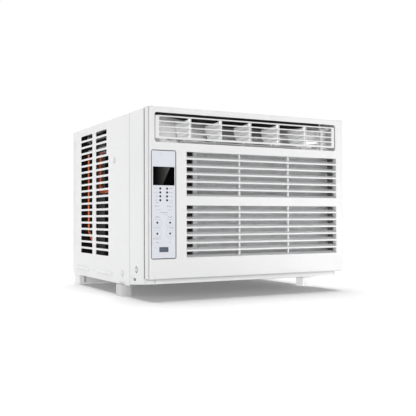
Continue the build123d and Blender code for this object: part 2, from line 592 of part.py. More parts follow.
with BuildPart() as louver_frame:
    block((across(FRAME_LEFT), across(FRAME_RIGHT)), grid_y, (above(LOUVER_LOW), above(LOUVER_HIGH)))
    fillet(louver_frame.edges().filter_by(Axis.Y).group_by(Axis.Z)[-1], 4.0)
    block((across(CELL_LEFT), across(CELL_RIGHT)), (behind(0), behind(10)), cell_z, Mode.SUBTRACT)
    # horizontal bars and upright dividers
    for index in range(3):
        low = BAR_LOWEST + index * BAR_PITCH - BAR / 2
        block((across(CELL_LEFT), across(CELL_RIGHT)), grid_y, (above(low), above(low + BAR)))
    divider_y = (grid_y[0], grid_y[0] + DIVIDER_DEPTH)
    for x in divider_places:
        block((across(x - DIVIDER / 2), across(x + DIVIDER / 2)), divider_y, cell_z)
    # end cheeks with the tilt pivots
    cheek_z = (above(LOUVER_LOW + 3), above(LOUVER_HIGH - 5))
    for left, right in ((FRAME_LEFT, FRAME_LEFT + 2.4), (FRAME_RIGHT - 2.4, FRAME_RIGHT)):
        block((across(left), across(right)), (grid_y[0] + 2, behind(28)), cheek_z)
    rod_x((across(OUTLET_LEFT - COLLAR), across(FRAME_LEFT + 1)), pivot_y, pivot_z, PIVOT_RADIUS)
    rod_x((across(FRAME_RIGHT - 1), across(OUTLET_RIGHT + COLLAR)), pivot_y, pivot_z, PIVOT_RADIUS)
    # ears that hold the vanes, above and below
    for x in divider_places:
        ear_y = (grid_y[0] + 2, behind(12.8))
        for low, high in ((LOUVER_LOW, LOUVER_LOW + 3.2), (LOUVER_HIGH - BAR, LOUVER_HIGH)):
            block((across(x - 4), across(x + 4)), ear_y, (above(low), above(high)))
        ear_z = (above(LOUVER_LOW - 1), above(LOUVER_HIGH + 1))
        rod_z(across(x), vane_y, (ear_z[0], above(LOUVER_LOW + 3.5)), EAR_HOLE, Mode.SUBTRACT)
        rod_z(across(x), vane_y, (above(LOUVER_HIGH - 2.5), ear_z[1]), EAR_HOLE, Mode.SUBTRACT)
    # guide for the link bar, behind the lower rail
    guide_y = (grid_y[0] + 2, behind(27.4))
    for x in (FRAME_LEFT + 40, FRAME_RIGHT - 40):
        block((across(x - 4), across(x + 4)), guide_y, (above(LOUVER_LOW), above(LOUVER_LOW + 2)))
save(louver_frame, "louver_frame")

VANE_LOW, VANE_HIGH = 277.8, 316.6
VANE_THICK = 1.6
LINK_LOW, LINK_HIGH = 271.6, 274.8

for index, x in enumerate(divider_places):
    with BuildPart() as vane:
        with BuildSketch(Plane.YZ.offset(across(x) - VANE_THICK / 2)):
            with BuildLine():
                Line((behind(6.4), above(VANE_HIGH - 0.6)), (behind(6.4), above(VANE_LOW)))
                Line((behind(6.4), above(VANE_LOW)), (behind(40), above(VANE_LOW + 0.4)))
                RadiusArc((behind(40), above(VANE_LOW + 0.4)), (behind(71), above(VANE_LOW + 29)), -31)
                Line((behind(71), above(VANE_LOW + 29)), (behind(71), above(VANE_HIGH - 2.6)))
                Line((behind(71), above(VANE_HIGH - 2.6)), (behind(6.4), above(VANE_HIGH - 0.6)))
            make_face()
        extrude(amount=VANE_THICK)
        # pivot pins, with a boss at the top
        rod_z(across(x), vane_y, (above(LOUVER_LOW + 0.4), above(VANE_LOW + 6)), 1.2)
        rod_z(across(x), vane_y, (above(VANE_HIGH - 6), above(LOUVER_HIGH - 0.2)), 1.2)
        rod_z(across(x), vane_y, (above(VANE_HIGH - 5), above(VANE_HIGH)), 2.2)
        # pin for the link bar
        rod_z(across(x), behind(VANE_LINK_DEPTH), (above(LINK_LOW - 0.6), above(VANE_LOW + 2)), 1.2)
        if index == DIVIDER_COUNT - 1:
            # finger tab, thinning to its tip
            with BuildSketch(Plane.XZ.offset(-behind(7.2))):
                with BuildLine():
                    Polyline(
                        (across(x + 0.4), above(278.5)),
                        (across(x + 0.4), above(284.5)),
                        (across(x + 34), above(284.5)),
                        (across(x + 34), above(283.3)),
                        close=True,
                    )
                make_face()
            extrude(amount=-3)
    save(vane, f"vertical_vane_{index + 1}")

with BuildPart() as vane_link_bar:
    link_x = (across(divider_places[0] - 8), across(divider_places[-1] + 8))
    link_y = (behind(VANE_LINK_DEPTH - 4.2), behind(VANE_LINK_DEPTH + 2.6))
    block(link_x, link_y, (above(LINK_LOW), above(LINK_HIGH)))
    for x in divider_places:
        block(
            (across(x - 1.9), across(x + 1.9)),
            (behind(VANE_LINK_DEPTH - 3.4), behind(VANE_LINK_DEPTH + 1.4)),
            (above(LINK_LOW - 1), above(LINK_HIGH + 1)),
            Mode.SUBTRACT,
        )
save(vane_link_bar, "vane_link_bar")

# ---------------------------------------------------------------- return-air filter
NET_FRONT, NET_REAR = 33.4, 34.0

with BuildPart() as filter_frame:
    outer_x = (across(109), across(451))
    block(outer_x, (behind(FILTER_Y[0]), behind(FILTER_Y[1])), (above(FILTER_LOW), above(FILTER_HIGH)))
    block(
        (outer_x[0] + 10, outer_x[1] - 2.6),
        (behind(FILTER_Y[0] - 1), behind(FILTER_Y[1] + 1)),
        (above(FILTER_LOW + 5), above(FILTER_HIGH - 5)),
        Mode.SUBTRACT,
    )
    # thin bars behind the net
    bar_y = (behind(NET_REAR + 0.1), behind(FILTER_Y[1]))
    for x in (217.5, 341):
        block((across(x - 0.9), across(x + 0.9)), bar_y, (above(FILTER_LOW + 4), above(FILTER_HIGH - 4)))
    for z in (104.4, 155, 212):
        block((outer_x[0] + 8, outer_x[1] - 1), bar_y, (above(z - 0.9), above(z + 0.9)))
    # rails out to the pull handle on the right-hand side
    frame_y = (behind(FILTER_Y[0]), behind(FILTER_Y[1]))
    for low, high in ((FILTER_LOW, FILTER_LOW + 5), (FILTER_HIGH - 5, FILTER_HIGH)):
        block((outer_x[1] - 2, HALF + 0.6), frame_y, (above(low), above(high)))
    handle_z = (above(FILTER_LOW - 3), above(FILTER_HIGH + 3))
    block((HALF + 0.4, HALF + 2.6), (behind(30.2), behind(38)), handle_z)
    block((HALF + 2, HALF + 7.5), (behind(34.5), behind(37.5)), (above(118), above(178)))
save(filter_frame, "filter_frame")

with BuildPart() as filter_mesh:
    net_z = (above(FILTER_LOW + 5.2), above(FILTER_HIGH - 5.2))
    block((across(119.2), across(448.2)), (behind(NET_FRONT), behind(NET_REAR)), net_z)
save(filter_mesh, "filter_mesh")

# ---------------------------------------------------------------- heat exchangers
TUBE_RADIUS = 3.5
EVAPORATOR_X = (across(113), across(450))
EVAPORATOR_Y = (38.6, 62.0)
EVAPORATOR_ROWS = [above(56 + 25 * i) for i in range(8)]
CONDENSER_X = (-200.0, 214.0)
CONDENSER_Y = (433.0, 469.0)
CONDENSER_ROWS = [56.0 + 32 * i for i in range(10)]


def coil_block(x_range, y_range, z_range, tube_ys, tube_zs, spacing):
    """Fin pack with one round hole for each tube run."""
    with BuildPart() as fins:
        block(x_range, y_range, z_range)
        for y in tube_ys:
            for z in tube_zs:
                rod_x((x_range[0] - 1, x_range[1] + 1), y, z, TUBE_RADIUS + spacing, Mode.SUBTRACT)
    return fins


def bent_tube(*edges):
    """A round tube along a chain of straight and curved edges."""
    with BuildPart() as tube:
        with BuildLine() as path:
            add(edges)
        with BuildSketch(Plane(path.wire() @ 0, z_dir=path.wire() % 0)):
            Circle(TUBE_RADIUS)
        sweep()
    return tube.part


def coil_tubes(x_range, tube_ys, tube_zs):
    """Hairpin tubes that turn on the right, joined by return bends on the left."""
    left, right = x_range[0] - 3, x_range[1] + 3
    near, far = tube_ys
    reach = (far - near) / 2
    runs = []
    for z in tube_zs:
        out = Edge.make_line((left, near, z), (right, near, z))
        peak = (right + reach, near + reach, z)
        turn = Edge.make_three_point_arc((right, near, z), peak, (right, far, z))
        home = Edge.make_line((right, far, z), (left, far, z))
        runs.append(bent_tube(out, turn, home))
    for index, (low, high) in enumerate(zip(tube_zs, tube_zs[1:])):
        y = tube_ys[index % 2]
        drop = (high - low) / 2
        bend = Edge.make_three_point_arc((left, y, low), (left - drop, y, low + drop), (left, y, high))
        runs.append(bent_tube(bend))
    with BuildPart() as tubes:
        add(runs)
    return tubes


evaporator_ys = [behind(45), behind(56)]
condenser_ys = [behind(442), behind(460)]
for name, x_range, y_range, z_range, ys, zs in (
    ("evaporator", EVAPORATOR_X, EVAPORATOR_Y, (above(43), above(250)), evaporator_ys, EVAPORATOR_ROWS),
    ("condenser", CONDENSER_X, CONDENSER_Y, (CASE_BOTTOM + 14, TOP - 16), condenser_ys, CONDENSER_ROWS),
):
    y_range = (behind(y_range[0]), behind(y_range[1]))
    fins = coil_block(x_range, y_range, z_range, ys, zs, 0.0)
    save(fins, f"{name}_fins")
    plate_y = (y_range[0] - 0.5, y_range[1] + 0.5)
    plate_z = (z_range[0] - 1.5, z_range[1] + 1.5)
    with BuildPart() as end_plates:
        for low, high in ((x_range[0] - 1.4, x_range[0] - 0.2), (x_range[1] + 0.2, x_range[1] + 1.4)):
            block((low, high), plate_y, plate_z)
        for y in ys:
            for z in zs:
                rod_x((x_range[0] - 3, x_range[1] + 3), y, z, TUBE_RADIUS + 0.3, Mode.SUBTRACT)
    save(end_plates, f"{name}_end_plates")
    tubes = coil_tubes(x_range, ys, zs)
    save(tubes, f"{name}_tubes")

# ---------------------------------------------------------------- air path of the room side
BULKHEAD = (172.0, 173.2)
DUCT_FRONT, DUCT_REAR = 26.0, 171.4
DUCT_BEND = 45.0
DUCT_LOW, DUCT_HIGH = 260.0, 333.2
DUCT_WALL = 2.5
SCROLL_TOP = above(DUCT_LOW) - 0.3
SCROLL_LEFT, SCROLL_RIGHT = -58.0, 112.0

with BuildPart() as outlet_duct:
    # wide at the louver, narrowing to the blower
    with BuildSketch(Plane.XY.offset(above(DUCT_LOW))):
        Polygon(
            (across(8.6), behind(DUCT_FRONT)),
            (across(451.4), behind(DUCT_FRONT)),
            (across(451.4), behind(DUCT_BEND)),
            (across(398), behind(DUCT_REAR)),
            (across(215), behind(DUCT_REAR)),
            (across(8.6), behind(DUCT_BEND)),
            align=None,
        )
    extrude(amount=DUCT_HIGH - DUCT_LOW)
    mouth = outlet_duct.faces().sort_by(Axis.Y)[0]
    offset(amount=-DUCT_WALL, openings=mouth)
    block(
        (FAN_X + SCROLL_LEFT, FAN_X + SCROLL_RIGHT),
        (behind(111), behind(168)),
        (above(DUCT_LOW - 1), above(DUCT_LOW + DUCT_WALL + 1)),
        Mode.SUBTRACT,
    )
save(outlet_duct, "outlet_duct")

with BuildPart() as blower_scroll:
    with BuildSketch(Plane.XZ.offset(-behind(108.2))):
        with BuildLine():
            rise = SCROLL_TOP - FAN_Z
            ThreePointArc((FAN_X - 66, FAN_Z + 67), (FAN_X - 88.5, FAN_Z + 36.5), (FAN_X - 97, FAN_Z))
            ThreePointArc((FAN_X - 97, FAN_Z), (FAN_X - 71, FAN_Z - 71), (FAN_X, FAN_Z - 102))
            ThreePointArc((FAN_X, FAN_Z - 102), (FAN_X + 76, FAN_Z - 76), (FAN_X + SCROLL_RIGHT, FAN_Z))
            Polyline(
                (FAN_X + SCROLL_RIGHT, FAN_Z),
                (FAN_X + SCROLL_RIGHT, FAN_Z + rise),
                (FAN_X + SCROLL_LEFT, FAN_Z + rise),
                (FAN_X - 66, FAN_Z + 67),
            )
        make_face()
    extrude(amount=-(BULKHEAD[0] - 108.4))
    open_faces = blower_scroll.faces().filter_by(Axis.Y) + blower_scroll.faces().sort_by(Axis.Z)[-1:]
    offset(amount=2.5, openings=open_faces, kind=Kind.INTERSECTION)
save(blower_scroll, "blower_scroll")

with BuildPart() as blower_inlet_plate:
    block((FAN_X - 112, FAN_X + 126), (behind(105), behind(108)), (above(43), SCROLL_TOP))
    rod_y(FAN_X, (behind(107), behind(114)), FAN_Z, 67.5)
    rod_y(FAN_X, (behind(104), behind(115)), FAN_Z, 65.0, Mode.SUBTRACT)
    rim = blower_inlet_plate.faces().sort_by(Axis.Y)[0].edges().filter_by(GeomType.CIRCLE)
    fillet(rim, 2.0)
save(blower_inlet_plate, "blower_inlet_plate")

with BuildPart() as bulkhead:
    wall_y = (behind(BULKHEAD[0]), behind(BULKHEAD[1]))
    block((-PAN_HALF + 2, PAN_HALF - 2), wall_y, (PAN_FLOOR + 0.3, TOP - SHEET - 0.5))
    for side in (-1, 1):
        # side flanges that the case screws bite into
        flange_x = sorted((side * (PAN_HALF - 0.2), side * (PAN_HALF - 2)))
        block(flange_x, (behind(BULKHEAD[0]), behind(206)), (FLANGE_TOP + 2, TOP - 8))
        rod_x(sorted((side * (HALF - 6), side * HALF)), *HIGH_SCREW, 2.05, Mode.SUBTRACT)
    rod_y(FAN_X, (behind(170), behind(175)), FAN_Z, 11.0, Mode.SUBTRACT)
    # pipe notch
    block((-226, -198), (behind(170), behind(175)), (180, 240), Mode.SUBTRACT)
save(bulkhead, "bulkhead")

# ---------------------------------------------------------------- fan motor and fans
MOTOR_RADIUS = 56.0
MOTOR_Y = (186.0, 262.0)

with BuildPart() as fan_motor:
    rod_y(FAN_X, (behind(MOTOR_Y[0]), behind(MOTOR_Y[1])), FAN_Z, MOTOR_RADIUS)
    fillet(fan_motor.edges().filter_by(GeomType.CIRCLE), 7.0)
    for low, high in ((MOTOR_Y[0] - 7, MOTOR_Y[0] + 1), (MOTOR_Y[1] - 1, MOTOR_Y[1] + 7)):
        rod_y(FAN_X, (behind(low), behind(high)), FAN_Z, 15.0)
    rod_y(FAN_X, (behind(150), behind(300)), FAN_Z, SHAFT_RADIUS + 0.05, Mode.SUBTRACT)
save(fan_motor, "fan_motor")

with BuildPart() as motor_bracket:
    block((FAN_X - 62, FAN_X + 62), (behind(196), behind(254)), (PAN_FLOOR, PAN_FLOOR + 3))
    for low in (198, 246):
        block((FAN_X - 50, FAN_X + 50), (behind(low), behind(low + 3)), (PAN_FLOOR + 3, FAN_Z - 20))
        window_y = (behind(low - 1), behind(low + 4))
        block((FAN_X - 24, FAN_X + 24), window_y, (PAN_FLOOR + 22, FAN_Z - 76), Mode.SUBTRACT)
    rod_y(FAN_X, (behind(190), behind(260)), FAN_Z, MOTOR_RADIUS + 0.3, Mode.SUBTRACT)
save(motor_bracket, "motor_bracket")

with BuildPart() as motor_shaft:
    rod_y(FAN_X, (behind(136), behind(358)), FAN_Z, SHAFT_RADIUS)
    chamfer(motor_shaft.edges().filter_by(GeomType.CIRCLE), 0.6)
save(motor_shaft, "motor_shaft")

with BuildPart() as blower_wheel:
    rod_y(FAN_X, (behind(160), behind(162.5)), FAN_Z, BLOWER_RADIUS)
    rod_y(FAN_X, (behind(142), behind(165)), FAN_Z, 14.0)
    rod_y(FAN_X, (behind(115.5), behind(118.5)), FAN_Z, BLOWER_RADIUS)
    rod_y(FAN_X, (behind(114), behind(119)), FAN_Z, 70.5, Mode.SUBTRACT)
    with Locations(Plane((FAN_X, behind(139), FAN_Z), x_dir=(1, 0, 0), z_dir=(0, -1, 0))):
        with PolarLocations(77.5, 36):
            Box(14.5, 1.2, 44, rotation=(0, 0, 28))
    rod_y(FAN_X, (behind(130), behind(170)), FAN_Z, SHAFT_RADIUS, Mode.SUBTRACT)
save(blower_wheel, "blower_wheel")

with BuildPart() as condenser_fan:
    rod_y(FAN_X, (behind(318), behind(350)), FAN_Z, 24.0)
    rod_y(FAN_X, (behind(328), behind(342)), FAN_Z, CONDENSER_FAN_RADIUS)
    rod_y(FAN_X, (behind(327), behind(343)), FAN_Z, CONDENSER_FAN_RADIUS - 3.0, Mode.SUBTRACT)
    with Locations(Plane((FAN_X, behind(335), FAN_Z), x_dir=(1, 0, 0), z_dir=(0, -1, 0))):
        with PolarLocations(74, 5):
            Box(108, 66, 2.4, rotation=(24, 0, 0))
    rod_y(FAN_X, (behind(318), behind(350)), FAN_Z, 24.0)
    rod_y(FAN_X, (behind(310), behind(360)), FAN_Z, SHAFT_RADIUS, Mode.SUBTRACT)
save(condenser_fan, "condenser_fan")

SHROUD_X = (-205.0, 226.0)
SHROUD_Y = (336.5, 431.5)
with BuildPart() as fan_shroud:
    block(SHROUD_X, (behind(SHROUD_Y[0]), behind(SHROUD_Y[1])), (CASE_BOTTOM + 6, TOP - 12))
    block(
        (SHROUD_X[0] + 2.2, SHROUD_X[1] - 2.2),
        (behind(SHROUD_Y[0] + 2.2), behind(SHROUD_Y[1] + 1)),
        (CASE_BOTTOM + 8.2, TOP - 14.2),
        Mode.SUBTRACT,
    )
    # side flanges that close the way past the condenser, with a notch for the discharge pipe
    for side, x in zip((-1, 1), SHROUD_X):
        flange_x = sorted((x - side, side * (PAN_HALF - 0.8)))
        block(flange_x, (behind(SHROUD_Y[1] - 2.5), behind(SHROUD_Y[1])), (60, TOP - 12))
    notch_y = (behind(SHROUD_Y[1] - 4), behind(SHROUD_Y[1] + 1))
    block((-216.5, -207.5), notch_y, (349.5, TOP), Mode.SUBTRACT)
    # inlet ring
    rod_y(FAN_X, (behind(326), behind(350)), FAN_Z, CONDENSER_FAN_RADIUS + 6.5)
    rod_y(FAN_X, (behind(320), behind(352)), FAN_Z, CONDENSER_FAN_RADIUS + 4, Mode.SUBTRACT)
save(fan_shroud, "fan_shroud")

with BuildPart() as top_brace:
    block((-224, -186), (behind(175), behind(336)), (TOP - SHEET - 8.5, TOP - SHEET - 7))
    for low, high in ((-224, -222.8), (-187.2, -186)):
        block((low, high), (behind(175), behind(336)), (TOP - SHEET - 16, TOP - SHEET - 7))
    block((-224, -186), (behind(BULKHEAD[1]), behind(174.4)), (TOP - SHEET - 30, TOP - SHEET - 7))
    block((-224, -186), (behind(174), behind(176)), (TOP - SHEET - 8.5, TOP - SHEET - 7))
save(top_brace, "top_brace")

# ---------------------------------------------------------------- compressor and its mounts
stud_spots = []
for angle in STUD_ANGLES:
    spot = Vector(STUD_CIRCLE, 0).rotate(Axis.Z, angle)
    stud_spots.append((COMPRESSOR_X + spot.X, COMPRESSOR_Y + spot.Y))

with BuildPart() as compressor:
    rod_z(COMPRESSOR_X, COMPRESSOR_Y, (42, 216), 54.0)
    fillet(compressor.edges().filter_by(GeomType.CIRCLE), 20.0)
    with BuildSketch(Plane.XY.offset(38)):
        for x, y in stud_spots:
            with Locations((x, y)):
                Circle(10)
        with Locations((COMPRESSOR_X, COMPRESSOR_Y)):
            Circle(52)
            with PolarLocations(STUD_CIRCLE / 2, 3, start_angle=30):
                Rectangle(STUD_CIRCLE, 20)
    extrude(amount=4)
    for x, y in stud_spots:
        rod_z(x, y, (30, 50), 4.2, Mode.SUBTRACT)
save(compressor, "compressor")

with BuildPart() as compressor_grommets:
    for x, y in stud_spots:
        rod_z(x, y, (PAN_FLOOR, 37.8), 9.0)
        rod_z(x, y, (PAN_FLOOR - 1, 40), 3.2, Mode.SUBTRACT)
save(compressor_grommets, "compressor_grommets")

with BuildPart() as compressor_studs:
    for x, y in stud_spots:
        rod_z(x, y, (PAN_FLOOR, 52), 3.0)
        with BuildSketch(Plane.XY.offset(42.3)):
            with Locations((x, y)):
                RegularPolygon(6.5, 6)
        extrude(amount=5)
save(compressor_studs, "compressor_studs")

ACCUMULATOR_X, ACCUMULATOR_Y = -100.0, -36.0
with BuildPart() as accumulator:
    rod_z(ACCUMULATOR_X, ACCUMULATOR_Y, (74, 196), 21.0)
    fillet(accumulator.edges().filter_by(GeomType.CIRCLE), 9.0)
    rod_z(ACCUMULATOR_X, ACCUMULATOR_Y, (190, 204), 4.5)
save(accumulator, "accumulator")

with BuildPart() as terminal_cover:
    rod_z(COMPRESSOR_X - 12, COMPRESSOR_Y - 8, (216.2, 240), 17.0)
    fillet(terminal_cover.edges().group_by(Axis.Z)[-1], 4.0)
    rod_z(COMPRESSOR_X - 12, COMPRESSOR_Y - 8, (210, 246), 2.4, Mode.SUBTRACT)
save(terminal_cover, "terminal_cover")


# ---------------------------------------------------------------- refrigerant pipes
def pipe(points, radius, bend):
    """A pipe along straight runs joined by round bends."""
    with BuildPart() as run:
        with BuildLine() as path:
            FilletPolyline(*points, radius=bend)
        with BuildSketch(Plane(path.line @ 0, z_dir=path.line % 0)):
            Circle(radius)
        sweep()
    return run


discharge_pipe = pipe(
    [
        (COMPRESSOR_X + 10, COMPRESSOR_Y + 28, 216.3),
        (COMPRESSOR_X + 10, COMPRESSOR_Y + 28, 354),
        (-212, 80, 354),
        (-212, 196, 354),
        (-216, condenser_ys[1], CONDENSER_ROWS[-1]),
        (CONDENSER_X[0] - 3.2, condenser_ys[1], CONDENSER_ROWS[-1]),
    ],
    3.2,
    4.0,
)
save(discharge_pipe, "discharge_pipe")

suction_pipe = pipe(
    [
        (ACCUMULATOR_X, ACCUMULATOR_Y, 204.3),
        (ACCUMULATOR_X, ACCUMULATOR_Y, 300),
        (-140, 0, 318),
        (-219, 82, 318),
        (-219, 82, 226),
        (-204, -30, 222),
        (-204, behind(118), 222),
        (-150, behind(118), 222),
        (-150, behind(56), EVAPORATOR_ROWS[-1]),
        (EVAPORATOR_X[0] - 3.2, behind(56), EVAPORATOR_ROWS[-1]),
    ],
    4.0,
    5.0,
)
save(suction_pipe, "suction_pipe")

DRIER_X, DRIER_Y = -218.0, -46.0
DRIER_Z = (232.0, 306.0)
liquid_pipe = pipe(
    [
        (CONDENSER_X[0] - 3.2, condenser_ys[1], CONDENSER_ROWS[0]),
        (-212, condenser_ys[1], CONDENSER_ROWS[0]),
        (-212, condenser_ys[1] - 4, 42),
        (-221, 112, 44),
        (-228, 112, 108),
        (-228, 141, 134),
        (-228, 141, 325),
        (-228, -20, 325),
        (DRIER_X, DRIER_Y, 325),
        (DRIER_X, DRIER_Y, DRIER_Z[1] + 8.3),
    ],
    2.5,
    4.0,
)
save(liquid_pipe, "liquid_pipe")

with BuildPart() as filter_drier:
    rod_z(DRIER_X, DRIER_Y, DRIER_Z, 8.5)
    fillet(filter_drier.edges().filter_by(GeomType.CIRCLE), 5.0)
    rod_z(DRIER_X, DRIER_Y, (DRIER_Z[0] - 8, DRIER_Z[1] + 8), 3.2)
save(filter_drier, "filter_drier")

capillary_tube = pipe(
    [
        (DRIER_X, DRIER_Y, DRIER_Z[0] - 8.2),
        (DRIER_X, DRIER_Y, 214),
        (-222, -58, 190),
        (-222, behind(112), 188),
        (-158, behind(112), 150),
        (-158, behind(56), EVAPORATOR_ROWS[0]),
        (EVAPORATOR_X[0] - 3.2, behind(56), EVAPORATOR_ROWS[0]),
    ],
    1.5,
    4.0,
)
save(capillary_tube, "capillary_tube")

# ---------------------------------------------------------------- run capacitor
CAPACITOR_X, CAPACITOR_Y = -168.0, -38.0
with BuildPart() as run_capacitor:
    rod_z(CAPACITOR_X, CAPACITOR_Y, (252, 340), 22.0)
    fillet(run_capacitor.edges().filter_by(GeomType.CIRCLE), 2.0)
    for x in (CAPACITOR_X - 8, CAPACITOR_X + 8):
        block((x - 3, x + 3), (CAPACITOR_Y - 0.5, CAPACITOR_Y + 0.5), (339, 347))
save(run_capacitor, "run_capacitor")

with BuildPart() as capacitor_strap:
    rod_z(CAPACITOR_X, CAPACITOR_Y, (288, 304), 24.0)
    strap_y = (behind(BULKHEAD[1]), behind(BULKHEAD[1]) + 1.4)
    block((CAPACITOR_X - 34, CAPACITOR_X + 34), strap_y, (288, 304))
    block((CAPACITOR_X - 12, CAPACITOR_X + 12), (behind(BULKHEAD[1]), CAPACITOR_Y - 10), (288, 304))
    rod_z(CAPACITOR_X, CAPACITOR_Y, (280, 310), 22.3, Mode.SUBTRACT)
save(capacitor_strap, "capacitor_strap")
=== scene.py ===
"""Looks of a compact window air conditioner, built around its CAD model. Metres, in the CAD frame."""
import json
import math
import random

import bmesh
import bpy
from mathutils import Matrix, Vector


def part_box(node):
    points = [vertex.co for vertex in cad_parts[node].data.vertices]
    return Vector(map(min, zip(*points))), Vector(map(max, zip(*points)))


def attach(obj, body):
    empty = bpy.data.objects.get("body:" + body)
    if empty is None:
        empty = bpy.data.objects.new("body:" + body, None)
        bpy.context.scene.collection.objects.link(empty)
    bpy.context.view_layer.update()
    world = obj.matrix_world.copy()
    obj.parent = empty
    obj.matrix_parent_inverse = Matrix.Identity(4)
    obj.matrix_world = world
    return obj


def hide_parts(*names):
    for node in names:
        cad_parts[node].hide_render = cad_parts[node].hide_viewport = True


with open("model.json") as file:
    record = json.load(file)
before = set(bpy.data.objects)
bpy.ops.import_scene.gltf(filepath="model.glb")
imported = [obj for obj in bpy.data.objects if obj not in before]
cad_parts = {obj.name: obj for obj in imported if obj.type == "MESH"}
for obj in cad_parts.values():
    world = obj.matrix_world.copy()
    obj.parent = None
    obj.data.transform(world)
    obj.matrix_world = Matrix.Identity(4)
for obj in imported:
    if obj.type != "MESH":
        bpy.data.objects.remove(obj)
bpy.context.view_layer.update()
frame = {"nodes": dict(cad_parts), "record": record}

# the face's width, the whole depth, and the height of the fascia's lower edge
WIDTH, DEPTH, FACE_BOTTOM = 0.470, 0.488, 0.0445


def across(millimetres):
    """X of a point this far to the right of the face's left edge."""
    return millimetres / 1000 - WIDTH / 2


def behind(millimetres):
    """Y of a point this far behind the face."""
    return millimetres / 1000 - DEPTH / 2


def above(millimetres):
    """Z of a point this far above the fascia's lower edge."""
    return millimetres / 1000 + FACE_BOTTOM


# ---------------------------------------------------------------- materials
class Paint:
    """A node material while it is being made.

    name stays as given. Blender numbers the material itself when the model has one of that name.
    """

    def __init__(self, name):
        self.name = name
        self.material = bpy.data.materials.new(name)
        self.material.use_nodes = True
        self.nodes = self.material.node_tree.nodes
        self.links = self.material.node_tree.links
        self.surface = self.nodes["Principled BSDF"]
        self.place = self.add("ShaderNodeTexCoord").outputs["Object"]

    def add(self, kind, **settings):
        made = self.nodes.new(kind)
        for key, value in settings.items():
            setattr(made, key, value)
        return made

    def feed(self, node, **values):
        """Set or link a node's inputs by name, with _ for a space."""
        for key, value in values.items():
            socket = node.inputs[key.replace("_", " ")]
            if isinstance(value, bpy.types.NodeSocket):
                self.links.new(value, socket)
            else:
                socket.default_value = value

    def set(self, **values):
        """Constant values on the shader's own sockets, or links into them."""
        self.feed(self.surface, **values)

    def stretched(self, scale, turn=(0, 0, 0)):
        """Object coordinates scaled along each axis."""
        mapping = self.add("ShaderNodeMapping")
        self.feed(mapping, Vector=self.place, Scale=scale, Rotation=turn)
        return mapping.outputs["Vector"]

    def noise(self, scale, detail=2.0, vector=None, distortion=0.0):
        """Cloudy noise. scale is in cycles per metre, unless vector is stretched."""
        made = self.add("ShaderNodeTexNoise")
        place = vector or self.place
        self.feed(made, Vector=place, Scale=scale, Detail=detail, Distortion=distortion)
        return made.outputs["Fac"]

    def cells(self, scale, feature="F1", output="Distance"):
        """Voronoi cells: spangles, beads and ink dots."""
        made = self.add("ShaderNodeTexVoronoi", feature=feature)
        self.feed(made, Vector=self.place, Scale=scale)
        return made.outputs[output]

    def axes(self):
        """Object coordinates as three separate sockets."""
        split = self.add("ShaderNodeSeparateXYZ")
        self.feed(split, Vector=self.place)
        return split.outputs["X"], split.outputs["Y"], split.outputs["Z"]

    def span(self, value, low, high, start=0.3, end=0.7):
        """value's range start..end turned into low..high."""
        made = self.add("ShaderNodeMapRange")
        self.feed(made, Value=value, From_Min=start, From_Max=end, To_Min=low, To_Max=high)
        return made.outputs["Result"]

    def math(self, operation, first, second=0.0):
        made = self.add("ShaderNodeMath", operation=operation)
        for socket, value in zip(made.inputs, (first, second)):
            if isinstance(value, bpy.types.NodeSocket):
                self.links.new(value, socket)
            else:
                socket.default_value = value
        return made.outputs["Value"]

    def blend(self, factor, first, second):
        """first where factor is 0, second where it is 1. Colours are three numbers or sockets."""
        made = self.add("ShaderNodeMix", data_type="RGBA")
        for index, value in ((0, factor), (6, first), (7, second)):
            if isinstance(value, bpy.types.NodeSocket):
                self.links.new(value, made.inputs[index])
            elif index:
                made.inputs[index].default_value = (*value, 1.0)
            else:
                made.inputs[index].default_value = value
        return made.outputs[2]

    def bump(self, height, depth, normal=None):
        """A normal that follows height, depth metres deep, on top of another normal."""
        made = self.add("ShaderNodeBump")
        self.feed(made, Height=height, Distance=depth, Strength=1.0)
        if normal is not None:
            self.feed(made, Normal=normal)
        return made.outputs["Normal"]

    def rounded(self, radius):
        """A normal that rounds sharp edges, and a mask that is 1 along them."""
        bevel = self.add("ShaderNodeBevel", samples=6)
        self.feed(bevel, Radius=radius)
        geometry = self.add("ShaderNodeNewGeometry")
        dot = self.add("ShaderNodeVectorMath", operation="DOT_PRODUCT")
        self.links.new(bevel.outputs["Normal"], dot.inputs[0])
        self.links.new(geometry.outputs["Normal"], dot.inputs[1])
        mask = self.span(dot.outputs["Value"], 0.0, 1.0, 0.97, 0.80)
        return bevel.outputs["Normal"], mask

    def base(self):
        """The colour that the shader has been given so far."""
        return self.surface.inputs["Base Color"].links[0].from_socket

    def painted_gap_shade(self, body, reach, shade, clear):
        """body with painted shade: darkened by shade in gaps, where less than clear of the space within
        reach is open.
        """
        made = self.add("ShaderNodeAmbientOcclusion", samples=6)
        self.feed(made, Distance=reach)
        shut = self.span(made.outputs["AO"], 1.0, 0.0, 0.15, clear)
        dark = self.blend(shade, body, (0.0, 0.0, 0.0))
        return self.blend(shut, body, dark)


def tinted(colour, factor):
    """A colour made lighter or darker, with no channel above 1."""
    return tuple(min(1.0, channel * factor) for channel in colour)


MOTTLE = 0.025  # how much darker a flow mark is


